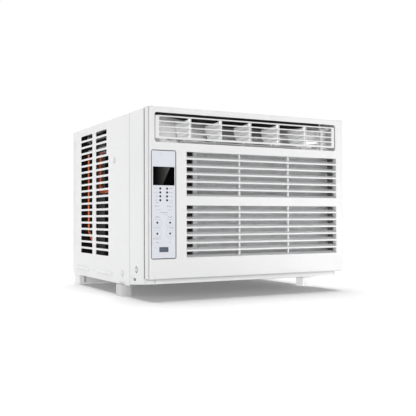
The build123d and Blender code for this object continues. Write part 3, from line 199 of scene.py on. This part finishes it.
def moulded(
    name, colour, rough=0.42, grain=900.0, edge=0.0007, edge_highlight=1.03, gap_shade=0.0, reach=0.008, clear=0.75
):
    """Moulded plastic: fine spark-eroded grain, faint flow marks, glossier edges with a painted
    highlight, and painted shade in gaps.
    """
    paint = Paint(name)
    normal, mask = paint.rounded(edge)
    flow = paint.noise(7.0, 4.0, distortion=0.6)
    dust = paint.noise(46.0, 5.0)
    body = paint.blend(paint.span(flow, 0.0, 1.0), tinted(colour, 1 - MOTTLE), colour)
    dusty = tinted(colour, 1 - 1.6 * MOTTLE)
    body = paint.blend(paint.span(dust, 0.0, 0.35, 0.52, 0.72), body, dusty)
    # edges painted lighter: a painted highlight
    body = paint.blend(paint.math("MULTIPLY", mask, 0.8), body, tinted(colour, edge_highlight))
    # painted shade in gaps and inside corners
    if gap_shade:
        body = paint.painted_gap_shade(body, reach, gap_shade, clear)
    texture = paint.noise(grain, 2.0)
    scuff = paint.span(paint.noise(24.0, 6.0), rough - 0.05, rough + 0.09)
    paint.set(
        Base_Color=body,
        Roughness=paint.math("SUBTRACT", scuff, paint.math("MULTIPLY", mask, 0.08)),
        Normal=paint.bump(texture, 0.00003, normal),
    )
    return paint


CLOUD = 0.02  # how much darker a cloud in the powder coat is


def sprayed(name, colour, rough=0.36, edge=0.0009, gap_shade=0.0):
    """Powder coat on sheet steel: orange peel, a soft sheen, faint handling marks, a painted highlight on
    edges and, where set, painted shade in gaps.
    """
    paint = Paint(name)
    normal, mask = paint.rounded(edge)
    cloud = paint.noise(4.0, 3.0)
    marks = paint.noise(90.0, 6.0, paint.stretched((1.0, 0.35, 1.0)))
    body = paint.blend(paint.span(cloud, 0.0, 1.0), tinted(colour, 1 - CLOUD), colour)
    handled = tinted(colour, 1 - 2 * CLOUD)
    body = paint.blend(paint.span(marks, 0.0, 0.4, 0.58, 0.75), body, handled)
    # edges painted lighter: a painted highlight
    body = paint.blend(paint.math("MULTIPLY", mask, 0.8), body, tinted(colour, 1.12))
    # painted shade in gaps and inside corners
    if gap_shade:
        body = paint.painted_gap_shade(body, 0.008, gap_shade, 0.93)
    skin = paint.noise(260.0, 3.0)
    paint.set(
        Base_Color=body,
        Roughness=paint.span(marks, rough - 0.04, rough + 0.10),
        Normal=paint.bump(skin, 0.00004, normal),
        Coat_Weight=0.12,
        Coat_Roughness=0.25,
    )
    return paint


def zinc(name, colour):
    """Galvanised sheet: overlapping spangles that each catch the light a little differently."""
    paint = Paint(name)
    normal, _ = paint.rounded(0.0004)
    spangle = paint.cells(95.0, output="Color")
    tone = paint.add("ShaderNodeSeparateColor")
    paint.feed(tone, Color=spangle)
    stain = paint.math("MULTIPLY", paint.noise(18.0, 4.0), 0.6)
    shade = paint.span(paint.math("ADD", tone.outputs["Red"], stain), 0.0, 1.0, 0.2, 1.4)
    paint.set(
        Base_Color=paint.blend(shade, tinted(colour, 0.80), tinted(colour, 1.08)),
        Metallic=0.9,
        Roughness=paint.span(tone.outputs["Green"], 0.30, 0.48, 0.0, 1.0),
        Normal=paint.bump(paint.cells(95.0, "DISTANCE_TO_EDGE"), 0.00002, normal),
    )
    return paint


def drawn(name, colour, rough=0.3, metallic=1.0, stain=None, lines=(40.0, 40.0, 4.0)):
    """Drawn or pressed metal: fine die lines along its length and a patchy tarnish."""
    paint = Paint(name)
    tarnish = paint.noise(38.0, 6.0, distortion=0.8)
    die = paint.noise(60.0, 2.0, paint.stretched(lines))
    dark = stain or tinted(colour, 0.55)
    body = paint.blend(paint.span(tarnish, 0.0, 0.75, 0.48, 0.66), colour, dark)
    body = paint.blend(paint.span(die, 0.0, 0.25), body, tinted(colour, 0.85))
    paint.set(
        Base_Color=body,
        Metallic=metallic,
        Roughness=paint.span(tarnish, rough, rough + 0.22),
        Normal=paint.bump(die, 0.00002),
    )
    return paint


def pipe_copper(name, colour, stain):
    """Bright copper, oxidised brown on the front coil and tinned grey near the lid."""
    paint = drawn(name, colour, stain=stain, metallic=0.6)
    bright = paint.base()
    _, y, z = paint.axes()
    front = paint.span(y, 1.0, 0.0, behind(108), behind(116))
    lid = paint.span(z, 0.0, 1.0, above(264), above(276))
    patches = paint.noise(90.0, 4.0)
    brown = paint.blend(patches, (0.16, 0.10, 0.075), (0.06, 0.045, 0.04))
    tin = paint.blend(paint.span(patches, 0.0, 1.0), (0.16, 0.16, 0.165), (0.36, 0.36, 0.37))
    paint.set(Base_Color=paint.blend(front, paint.blend(lid, bright, tin), brown))
    return paint


def foamed(name, colour):
    """Expanded foam: fused beads with small dark seams between them."""
    paint = Paint(name)
    bead = paint.cells(330.0, "DISTANCE_TO_EDGE")
    fine = paint.noise(1500.0, 2.0)
    height = paint.math("ADD", bead, paint.math("MULTIPLY", fine, 0.2))
    paint.set(
        Base_Color=paint.blend(paint.span(bead, 0.0, 1.0, 0.0, 0.12), tinted(colour, 0.88), colour),
        Roughness=paint.span(fine, 0.72, 0.92),
        Specular_IOR_Level=0.25,
        Normal=paint.bump(height, 0.00025),
    )
    return paint


def duct_with_painted_shade(name, colour, roof_shade_colour, end):
    """Pale foam duct with painted shade: a near-black ceiling and a streaked grey rear wall."""
    paint = foamed(name, colour)
    pale = paint.base()
    _, y, z = paint.axes()
    roof = paint.span(z, 0.0, 1.0, above(328.5), above(330))
    rear = paint.span(y, 0.0, 1.0, behind(165), behind(167))
    # painted shade: the ceiling near black, with a faint mottle
    painted_roof_shade = paint.blend(paint.noise(400.0, 5.0), roof_shade_colour, tinted(roof_shade_colour, 1.8))
    streak = paint.span(paint.noise(6.0, 3.0, paint.stretched((1.0, 1.0, 60.0))), 0.0, 1.0)
    # painted shade: the rear wall grey, darker in upright streaks
    wall = paint.blend(streak, end, tinted(end, 0.4))
    paint.set(Base_Color=paint.blend(roof, paint.blend(rear, pale, wall), painted_roof_shade))
    return paint


def rubbery(name, colour):
    """Moulded rubber with a bloom of dust."""
    paint = Paint(name)
    bloom = paint.noise(120.0, 5.0)
    paint.set(
        Base_Color=paint.blend(paint.span(bloom, 0.0, 0.7), colour, tinted(colour, 2.2)),
        Roughness=paint.span(bloom, 0.55, 0.8),
        Specular_IOR_Level=0.3,
        Normal=paint.bump(paint.noise(700.0, 3.0), 0.00004),
    )
    return paint


def printed_film(name, colour):
    """Printed control film: satin face with a faint weave of ink dots and a soft blue cast."""
    paint = Paint(name)
    normal, _ = paint.rounded(0.0003)
    dots = paint.cells(2600.0)
    cloud = paint.noise(11.0, 3.0)
    body = paint.blend(paint.span(cloud, 0.0, 1.0), tinted(colour, 0.985), colour)
    body = paint.blend(paint.span(dots, 0.0, 0.10, 0.2, 0.6), body, tinted(colour, 0.93))
    paint.set(
        Base_Color=body,
        Roughness=paint.span(paint.noise(60.0, 5.0), 0.26, 0.38),
        Normal=paint.bump(paint.noise(420.0, 3.0), 0.00001, normal),
    )
    return paint


def dotted_film(name, colour, columns, rows, radius, rim_shade=None):
    """The same film with black dots on a grid and a dark line round its edge, which is painted shade at
    the rim of its pocket.

    Places and the radius are in millimetres on the face. The last argument gives the painted shade line's
    left, right, low and high.
    """
    paint = printed_film(name, colour)
    face = paint.base()
    x, _, z = paint.axes()
    dot = 0.0
    for column in columns:
        for row in rows:
            aside = paint.math("SUBTRACT", x, across(column))
            away = paint.math("SUBTRACT", z, above(row))
            squares = [paint.math("MULTIPLY", offset, offset) for offset in (aside, away)]
            reach = paint.math("MULTIPLY", paint.math("SQRT", paint.math("ADD", *squares)), 1000.0)
            inside = paint.span(reach, 1.0, 0.0, radius - 0.1, radius + 0.1)
            dot = paint.math("MAXIMUM", dot, inside)
    if rim_shade:
        left, right, low, high = rim_shade
        aside = paint.math("ABSOLUTE", paint.math("SUBTRACT", x, across((left + right) / 2)))
        away = paint.math("ABSOLUTE", paint.math("SUBTRACT", z, above((low + high) / 2)))
        past = paint.math(
            "MAXIMUM",
            paint.math("SUBTRACT", aside, (right - left) / 2000),
            paint.math("SUBTRACT", away, (high - low) / 2000),
        )
        # painted shade: a dark line along the film's rim
        line = paint.span(paint.math("MULTIPLY", past, 1000.0), 0.0, 1.0, -0.1, 0.1)
        face = paint.blend(line, face, (0.05, 0.052, 0.06))
    paint.set(Base_Color=paint.blend(dot, face, (0.006, 0.006, 0.007)))
    return paint


# where the window's painted reflection ends at the bottom, and how far its edge leans: shares of the
# width
REFLECTION_END, REFLECTION_LEAN = 0.44, 0.36


def dark_window(name, low, high):
    """Smoked display window: near black, with a painted reflection, a paler band that ends in a slanting
    edge.
    """
    paint = Paint(name)
    x, _, z = paint.axes()
    u = paint.span(x, 0.0, 1.0, low.x, high.x)
    v = paint.span(z, 0.0, 1.0, low.z, high.z)
    edge = paint.math("ADD", paint.math("MULTIPLY", v, REFLECTION_LEAN), REFLECTION_END)
    inside = paint.span(paint.math("SUBTRACT", edge, u), 0.0, 1.0, -0.008, 0.012)
    painted_reflection = paint.math("MULTIPLY", paint.math("MULTIPLY", u, u), inside)
    smear_and_sheen = paint.noise(70.0, 5.0)
    painted_reflection = paint.math("MULTIPLY", painted_reflection, paint.span(smear_and_sheen, 0.9, 1.05))
    paint.set(
        # base colour: near black, with the painted reflection a paler grey
        Base_Color=paint.blend(painted_reflection, (0.0008, 0.0008, 0.0009), (0.135, 0.135, 0.137)),
        Roughness=paint.span(smear_and_sheen, 0.07, 0.16),
        Specular_IOR_Level=0.015,
        Normal=paint.bump(paint.noise(25.0, 2.0), 0.00001),
    )
    return paint


def glossy(name, colour, specular=0.35):
    """Small glossy plastic lens or window with a light haze."""
    paint = Paint(name)
    haze = paint.noise(160.0, 5.0)
    paint.set(
        Base_Color=paint.blend(paint.span(haze, 0.0, 0.6), colour, tinted(colour, 1.4)),
        Roughness=paint.span(haze, 0.12, 0.22),
        Specular_IOR_Level=specular,
        Normal=paint.bump(paint.noise(240.0, 2.0), 0.00001),
    )
    return paint


def circuit(name, colour):
    """Solder mask over copper tracks."""
    paint = Paint(name)
    tracks = paint.add("ShaderNodeTexBrick")
    upright = paint.stretched((1.0, 1.0, 1.0), (math.radians(90), 0, 0))
    paint.feed(tracks, Vector=upright, Scale=130.0, Mortar_Size=0.06)
    tracks.inputs["Color1"].default_value = (*colour, 1.0)
    tracks.inputs["Color2"].default_value = (*tinted(colour, 0.8), 1.0)
    tracks.inputs["Mortar"].default_value = (*tinted(colour, 1.7), 1.0)
    paint.set(
        Base_Color=tracks.outputs["Color"],
        Roughness=paint.span(paint.noise(90.0, 4.0), 0.25, 0.4),
        Normal=paint.bump(tracks.outputs["Fac"], 0.00003),
    )
    return paint


def netting(name, colour):
    """Woven filter thread: dull polyester with caught lint."""
    paint = Paint(name)
    lint = paint.noise(140.0, 6.0)
    twist = paint.add("ShaderNodeTexWave", bands_direction="DIAGONAL")
    paint.feed(twist, Vector=paint.place, Scale=900.0, Distortion=2.0)
    paint.set(
        Base_Color=paint.blend(paint.span(lint, 0.0, 0.5, 0.5, 0.75), colour, tinted(colour, 1.3)),
        Roughness=paint.span(lint, 0.6, 0.85),
        Sheen_Weight=0.2,
        Normal=paint.bump(twist.outputs["Fac"], 0.00004),
    )
    return paint


def fin_stock(name, colour):
    """Thin aluminium fin stock: rolled lines and a cloudy oxide."""
    paint = Paint(name)
    cloud = paint.noise(60.0, 5.0)
    rolled = paint.noise(300.0, 2.0, paint.stretched((8.0, 8.0, 0.3)))
    body = paint.blend(paint.span(cloud, 0.0, 1.0), tinted(colour, 0.82), colour)
    paint.set(
        Base_Color=body,
        Metallic=0.35,
        Roughness=paint.span(cloud, 0.38, 0.55),
        Normal=paint.bump(rolled, 0.00001),
    )
    return paint


FILM = (0.66, 0.685, 0.73)
LIGHT_COLUMNS, LIGHT_ROWS = (22.5, 37.0), (176.3, 168.7, 161.1, 153.5)
KEY_COLUMNS, KEY_ROWS = (16.1, 43.4), (109.8, 88.5)
# where the film's painted rim shade runs: left, right, low and high
FILM_RIM_SHADE = (4.3, 55.0, 40.6, 250.0)
window_low, window_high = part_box("display_window")

finishes = (
    sprayed("case_paint", (0.78, 0.782, 0.785), gap_shade=0.95),
    sprayed("pan_paint", (0.34, 0.345, 0.35)),
    moulded("panel_plastic", (0.77, 0.772, 0.775), 0.40, edge_highlight=1.16, gap_shade=0.95, clear=0.93),
    moulded("fascia_plastic", (0.74, 0.74, 0.742), 0.38, edge=0.0012, edge_highlight=1.12, gap_shade=0.75, reach=0.004),
    moulded("louver_plastic", (0.72, 0.72, 0.72), 0.34, grain=1400.0, edge=0.0004),
    moulded("vane_plastic", (0.90, 0.902, 0.905), 0.40, grain=1400.0, edge=0.0003),
    dotted_film("overlay_film", FILM, LIGHT_COLUMNS, LIGHT_ROWS, 2.25, FILM_RIM_SHADE),
    dotted_film("key_film", FILM, KEY_COLUMNS, KEY_ROWS, 2.15),
    dark_window("black_window", window_low, window_high),
    glossy("smoked_window", (0.06, 0.075, 0.10), specular=0.6),
    glossy("light_lens", (0.010, 0.010, 0.012)),
    circuit("board", (0.02, 0.12, 0.05)),
    moulded("box_plastic", (0.60, 0.60, 0.59)),
    # the duct's last two colours are painted shade, on its ceiling and its rear wall
    duct_with_painted_shade("foam", (0.88, 0.88, 0.88), (0.005, 0.005, 0.006), (0.50, 0.50, 0.505)),
    moulded("scroll_plastic", (0.075, 0.08, 0.085)),
    moulded("filter_plastic", (0.66, 0.675, 0.69), grain=1500.0, edge=0.0004),
    netting("filter_net", (0.92, 0.93, 0.945)),
    fin_stock("fin_aluminium", (0.80, 0.81, 0.82)),
    zinc("galvanised", (0.52, 0.54, 0.56)),
    pipe_copper("copper", (0.85, 0.17, 0.045), (0.50, 0.10, 0.03)),
    drawn("aged_copper", (0.07, 0.032, 0.02), 0.45, stain=(0.03, 0.018, 0.014)),
    sprayed("black_steel", (0.008, 0.008, 0.009), 0.3),
    drawn("motor_steel", (0.30, 0.31, 0.32), 0.34, lines=(30.0, 4.0, 30.0)),
    drawn("shaft_steel", (0.55, 0.56, 0.58), 0.22, lines=(4.0, 60.0, 4.0)),
    moulded("fan_plastic", (0.012, 0.013, 0.015), edge=0.0004),
    moulded("shroud_plastic", (0.006, 0.006, 0.007)),
    drawn("can_aluminium", (0.60, 0.61, 0.62)),
    moulded("terminal_plastic", (0.008, 0.008, 0.008)),
    rubbery("grommet_rubber", (0.012, 0.012, 0.012)),
    moulded("foot_plastic", (0.61, 0.60, 0.602), 0.45, edge=0.0016, edge_highlight=1.30),
    sprayed("guard_paint", (0.82, 0.825, 0.83), edge=0.0004),
    drawn("screw_steel", (0.80, 0.80, 0.79), 0.25, metallic=0.5, stain=(0.62, 0.62, 0.60)),
    moulded("drain_plastic", (0.62, 0.62, 0.62)),
)
paints = {finish.name: finish for finish in finishes}

for part in frame["record"]["subparts"]:
    node = frame["nodes"][part["node"]]
    if not node.material_slots:
        node.data.materials.append(None)
    for holder in node.material_slots:
        holder.material = paints[part["material_slot"]].material


# ---------------------------------------------------------------- mesh helpers
def piece(name, mesh, body, slot, material=None, stands_for=()):
    """A new object from a bmesh, on its CAD body, with its record slot's finish."""
    data = bpy.data.meshes.new(name)
    mesh.to_mesh(data)
    mesh.free()
    made = bpy.data.objects.new(name, data)
    bpy.context.scene.collection.objects.link(made)
    data.materials.append(material or paints[slot].material)
    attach(made, body)
    if stands_for:
        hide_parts(*stands_for)


def prism(mesh, outline, direction):
    """A closed solid: a flat outline swept along a straight line."""
    near = [mesh.verts.new(point) for point in outline]
    far = [mesh.verts.new(Vector(point) + Vector(direction)) for point in outline]
    mesh.faces.new(near[::-1])
    mesh.faces.new(far)
    for index in range(len(outline)):
        following = (index + 1) % len(outline)
        mesh.faces.new((near[index], near[following], far[following], far[index]))


# ---------------------------------------------------------------- fin packs
def fin_pack(name, node, pitch, thickness, folds):
    """A stack of thin corrugated plates, as wide and high as the CAD block that it stands for."""
    low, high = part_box(node)
    count = int((high.x - low.x - thickness) / pitch)
    start = (low.x + high.x - count * pitch) / 2
    depth = (high.y - low.y) / folds
    ripple = 0.00022
    mesh = bmesh.new()
    for index in range(count + 1):
        x = start + index * pitch
        line = [(x + ripple * (-1) ** fold, low.y + depth * fold) for fold in range(folds + 1)]
        outline = [(px - thickness / 2, py, low.z) for px, py in line]
        outline += [(px + thickness / 2, py, low.z) for px, py in reversed(line)]
        prism(mesh, outline, (0, 0, high.z - low.z))
    bmesh.ops.recalc_face_normals(mesh, faces=mesh.faces)
    piece(name, mesh, "chassis", "fin_aluminium", stands_for=(node,))


fin_pack("evaporator_fin_stack", "evaporator_fins", pitch=0.0016, thickness=0.00014, folds=6)
fin_pack("condenser_fin_stack", "condenser_fins", pitch=0.0018, thickness=0.00014, folds=8)


# ---------------------------------------------------------------- filter net
def filter_net(pitch, thread):
    """Plain weave: straight uprights, and crosswise threads that go over one and under the next."""
    low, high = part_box("filter_mesh")
    middle = (low.y + high.y) / 2
    half_thick = thread * 0.3
    sway = thread * 0.55
    columns = int((high.x - low.x) / pitch)
    rows = int((high.z - low.z) / pitch)
    left = (low.x + high.x - columns * pitch) / 2
    bottom = (low.z + high.z - rows * pitch) / 2
    mesh = bmesh.new()
    for index in range(columns + 1):
        x = left + index * pitch
        corners = ((-1, 0), (0, -1), (1, 0), (0, 1))
        outline = [(x + cx * thread / 2, middle + cy * half_thick, low.z) for cx, cy in corners]
        prism(mesh, outline, (0, 0, high.z - low.z))
    for row in range(rows + 1):
        z = bottom + row * pitch
        rings = []
        for index in range(columns + 1):
            side = 1 if (index + row) % 2 else -1
            y = middle + side * sway
            x = left + index * pitch
            ring = [
                mesh.verts.new((x, y, z - thread / 2)),
                mesh.verts.new((x, y - half_thick, z)),
                mesh.verts.new((x, y, z + thread / 2)),
                mesh.verts.new((x, y + half_thick, z)),
            ]
            rings.append(ring)
        for first, second in zip(rings, rings[1:]):
            for corner in range(4):
                following = (corner + 1) % 4
                mesh.faces.new((first[corner], first[following], second[following], second[corner]))
        mesh.faces.new(rings[0])
        mesh.faces.new(rings[-1][::-1])
    bmesh.ops.recalc_face_normals(mesh, faces=mesh.faces)
    piece("filter_net_weave", mesh, "filter", "filter_net", stands_for=("filter_mesh",))


filter_net(pitch=0.0020, thread=0.00066)

# ---------------------------------------------------------------- print on the control film
INK_FRONT, INK = behind(0.7), 0.00004


def stroke(mesh, x, z, width, height, slant=0.0):
    """A short printed stroke with cut corners, its middle at x and z in millimetres on the face."""
    w, h, cut = width / 2000, height / 2000, min(width, height) / 6000
    half = [(-w + cut, -h), (w - cut, -h), (w, -h + cut), (w, h - cut)]
    opposite = [(-px, -pz) for px, pz in half]
    turn = Matrix.Rotation(slant, 2)
    outline = []
    for corner in half + opposite:
        point = turn @ Vector(corner)
        outline.append((across(x) + point.x, INK_FRONT + INK / 4, above(z) + point.y))
    prism(mesh, outline, (0, -INK, 0))


def label(mesh, dice, x, z, width, height=1.5):
    """A row of unreadable little strokes in place of a printed word."""
    left = x - width / 2
    while left < x + width / 2 - 0.5:
        tall = height * dice.uniform(0.75, 1.0)
        wide = dice.uniform(0.35, 0.9)
        stroke(mesh, left + wide / 2, z, wide, tall * dice.choice((0.35, 1.0, 1.0)))
        left += wide + dice.uniform(0.45, 0.75)


def ink(name, colour):
    """Screen-printed ink with fine specks."""
    paint = Paint(name)
    speck = paint.noise(1900.0, 3.0)
    paint.set(
        Base_Color=paint.blend(paint.span(speck, 0.0, 0.5), colour, tinted(colour, 1.25)),
        Roughness=paint.span(speck, 0.35, 0.5),
        Normal=paint.bump(speck, 0.00001),
    )
    return paint.material


def print_marks():
    """Grey labels beside the lights and keys, arrows above the upper keys, and a green label."""
    dice = random.Random(7)
    grey = bmesh.new()
    for z in LIGHT_ROWS:
        label(grey, dice, 13.8, z, 7.5, 1.1)
        label(grey, dice, 45.6, z, 7.5, 1.1)
    for x, z, width, height in (
        (16.0, 148.9, 6.5, 1.1),
        (46.0, 148.9, 8.0, 1.1),
        (16.0, 142.0, 11.0, 1.6),
        (42.4, 142.0, 13.5, 1.6),
        (19.0, 134.8, 9.5, 1.2),
        (43.4, 134.8, 8.0, 1.2),
        (30.3, 129.6, 18.0, 1.5),
        (14.8, 99.8, 17.0, 1.5),
        (43.2, 99.8, 14.0, 1.5),
        (15.2, 78.6, 16.5, 1.5),
        (17.0, 71.4, 7.5, 1.3),
    ):
        label(grey, dice, x, z, width, height)
    for x, sign in zip(KEY_COLUMNS, (1, -1)):
        stroke(grey, x - 2.2, 120.8, 5.2, 0.7, sign * math.radians(28))
        stroke(grey, x + 2.2, 120.8, 5.2, 0.7, -sign * math.radians(28))
    bmesh.ops.recalc_face_normals(grey, faces=grey.faces)
    grey_ink = ink("ink_grey", (0.05, 0.053, 0.06))
    piece("control_print_grey", grey, "chassis", "overlay_film", grey_ink)
    green = bmesh.new()
    label(green, dice, 43.6, 78.4, 10.5, 1.7)
    label(green, dice, 43.6, 71.2, 5.5, 1.4)
    bmesh.ops.recalc_face_normals(green, faces=green.faces)
    green_ink = ink("ink_green", (0.12, 0.45, 0.14))
    piece("control_print_green", green, "chassis", "overlay_film", green_ink)


print_marks()


# ---------------------------------------------------------------- studio
def lamp(name, place, target, size, power):
    """A soft rectangular light, aimed at a point."""
    light = bpy.data.lights.new(name, "AREA")
    light.shape = "RECTANGLE"
    light.size, light.size_y = size
    light.energy = power
    made = bpy.data.objects.new(name, light)
    made.location = place
    made.rotation_euler = (Vector(target) - Vector(place)).to_track_quat("-Z", "Y").to_euler()
    bpy.context.scene.collection.objects.link(made)
    return made


def sky_lamp(name, side, height, strength, softness):
    """A sun of even strength. It comes from side degrees to the right of the front, height degrees up."""
    light = bpy.data.lights.new(name, "SUN")
    light.energy = strength
    light.angle = math.radians(softness)
    made = bpy.data.objects.new(name, light)
    bearing, rise = math.radians(side), math.radians(height)
    level = math.cos(rise)
    source = Vector((math.sin(bearing) * level, -math.cos(bearing) * level, math.sin(rise)))
    made.rotation_euler = source.to_track_quat("Z", "Y").to_euler()
    bpy.context.scene.collection.objects.link(made)
    return made


def floor_sheet():
    """A wide pale floor."""
    mesh = bmesh.new()
    bmesh.ops.create_grid(mesh, x_segments=24, y_segments=24, size=60.0)
    data = bpy.data.meshes.new("studio_floor")
    mesh.to_mesh(data)
    mesh.free()
    made = bpy.data.objects.new("studio_floor", data)
    bpy.context.scene.collection.objects.link(made)
    paint = Paint("studio_paper")
    fibre = paint.noise(35.0, 4.0)
    paint.set(
        Base_Color=paint.blend(paint.span(fibre, 0.0, 1.0), (0.93, 0.93, 0.93), (0.95, 0.95, 0.95)),
        Roughness=paint.span(fibre, 0.9, 1.0),
        Specular_IOR_Level=0.0,
        Emission_Color=(1.0, 1.0, 1.0, 1.0),
        Emission_Strength=0.13,
        Normal=paint.bump(fibre, 0.00002),
    )
    data.materials.append(paint.material)
    return made


SKY_FADE = {"From Min": 0.31, "From Max": 0.46, "To Min": 1.02, "To Max": 0.12}


def studio_air():
    """White around the horizon, dimmer overhead. Generated Z is the height of the direction."""
    world = bpy.data.worlds.new("studio")
    bpy.context.scene.world = world
    world.use_nodes = True
    nodes, links = world.node_tree.nodes, world.node_tree.links
    split = nodes.new("ShaderNodeSeparateXYZ")
    links.new(nodes.new("ShaderNodeTexCoord").outputs["Generated"], split.inputs["Vector"])
    fade = nodes.new("ShaderNodeMapRange")
    fade.interpolation_type = "SMOOTHSTEP"
    for key, value in SKY_FADE.items():
        fade.inputs[key].default_value = value
    links.new(split.outputs["Z"], fade.inputs["Value"])
    background = nodes["Background"]
    background.inputs["Color"].default_value = (1.0, 1.0, 1.0, 1.0)
    links.new(fade.outputs["Result"], background.inputs["Strength"])


def keep_off_floor(light, spared):
    """The light leaves the floor alone, so that the shadow under the object stays whole."""
    light.light_linking.receiver_collection = spared
    for member in spared.collection_objects:
        member.light_linking.link_state = "EXCLUDE"


def only_on(light, *stems):
    """The light reaches only the CAD nodes whose names start with one of the stems."""
    chosen = bpy.data.collections.new(light.name + "_parts")
    for name, node in frame["nodes"].items():
        if name.startswith(stems):
            chosen.objects.link(node)
    light.light_linking.receiver_collection = chosen


floor = floor_sheet()
spared = bpy.data.collections.new("floor_only")
spared.objects.link(floor)
studio_air()
sky_lamp("top_light", side=168.0, height=82.0, strength=2.3, softness=38.0)
front_light = sky_lamp("front_light", side=-8.0, height=45.0, strength=0.26, softness=8.0)
keep_off_floor(front_light, spared)
corner_light = sky_lamp("corner_light", side=-56.0, height=22.0, strength=0.45, softness=4.0)
keep_off_floor(corner_light, spared)
low_light = sky_lamp("low_light", side=-22.0, height=5.0, strength=0.27, softness=6.0)
keep_off_floor(low_light, spared)
outlet_fill = sky_lamp("outlet_fill", side=-25.0, height=6.0, strength=2.6, softness=8.0)
only_on(outlet_fill, "vertical_vane", "outlet_duct")
foot_fill = sky_lamp("foot_fill", side=-50.0, height=3.0, strength=3.6, softness=6.0)
only_on(foot_fill, "front_foot_right")
rear_foot_fill = sky_lamp("rear_foot_fill", side=-50.0, height=3.0, strength=1.5, softness=6.0)
only_on(rear_foot_fill, "rear_foot")
left_light = sky_lamp("left_light", side=-80.0, height=50.0, strength=0.36, softness=10.0)
keep_off_floor(left_light, spared)
right_light = lamp("right_light", (0.75, -1.0, 0.09), (0.25, -0.2, 0.12), size=(0.4, 0.12), power=2.2)
keep_off_floor(right_light, spared)
bpy.context.scene.view_settings.view_transform = "Standard"

# ---------------------------------------------------------------- camera
LENS, SENSOR = 60.73, 36.0
EYE = (-0.773, -1.489, 0.1629)
PAN, TILT, ROLL = -28.112, 0.829, -0.154  # degrees, from looking level along +Y

camera_data = bpy.data.cameras.new("camera")
camera_data.lens = LENS
camera_data.sensor_width = SENSOR
camera = bpy.data.objects.new("camera", camera_data)
bpy.context.scene.collection.objects.link(camera)
aim = Matrix.Rotation(math.radians(PAN), 4, "Z") @ Matrix.Rotation(math.radians(90 + TILT), 4, "X")
roll = Matrix.Rotation(math.radians(ROLL), 4, "Z")
camera.matrix_world = Matrix.Translation(EYE) @ aim @ roll
bpy.context.scene.camera = camera
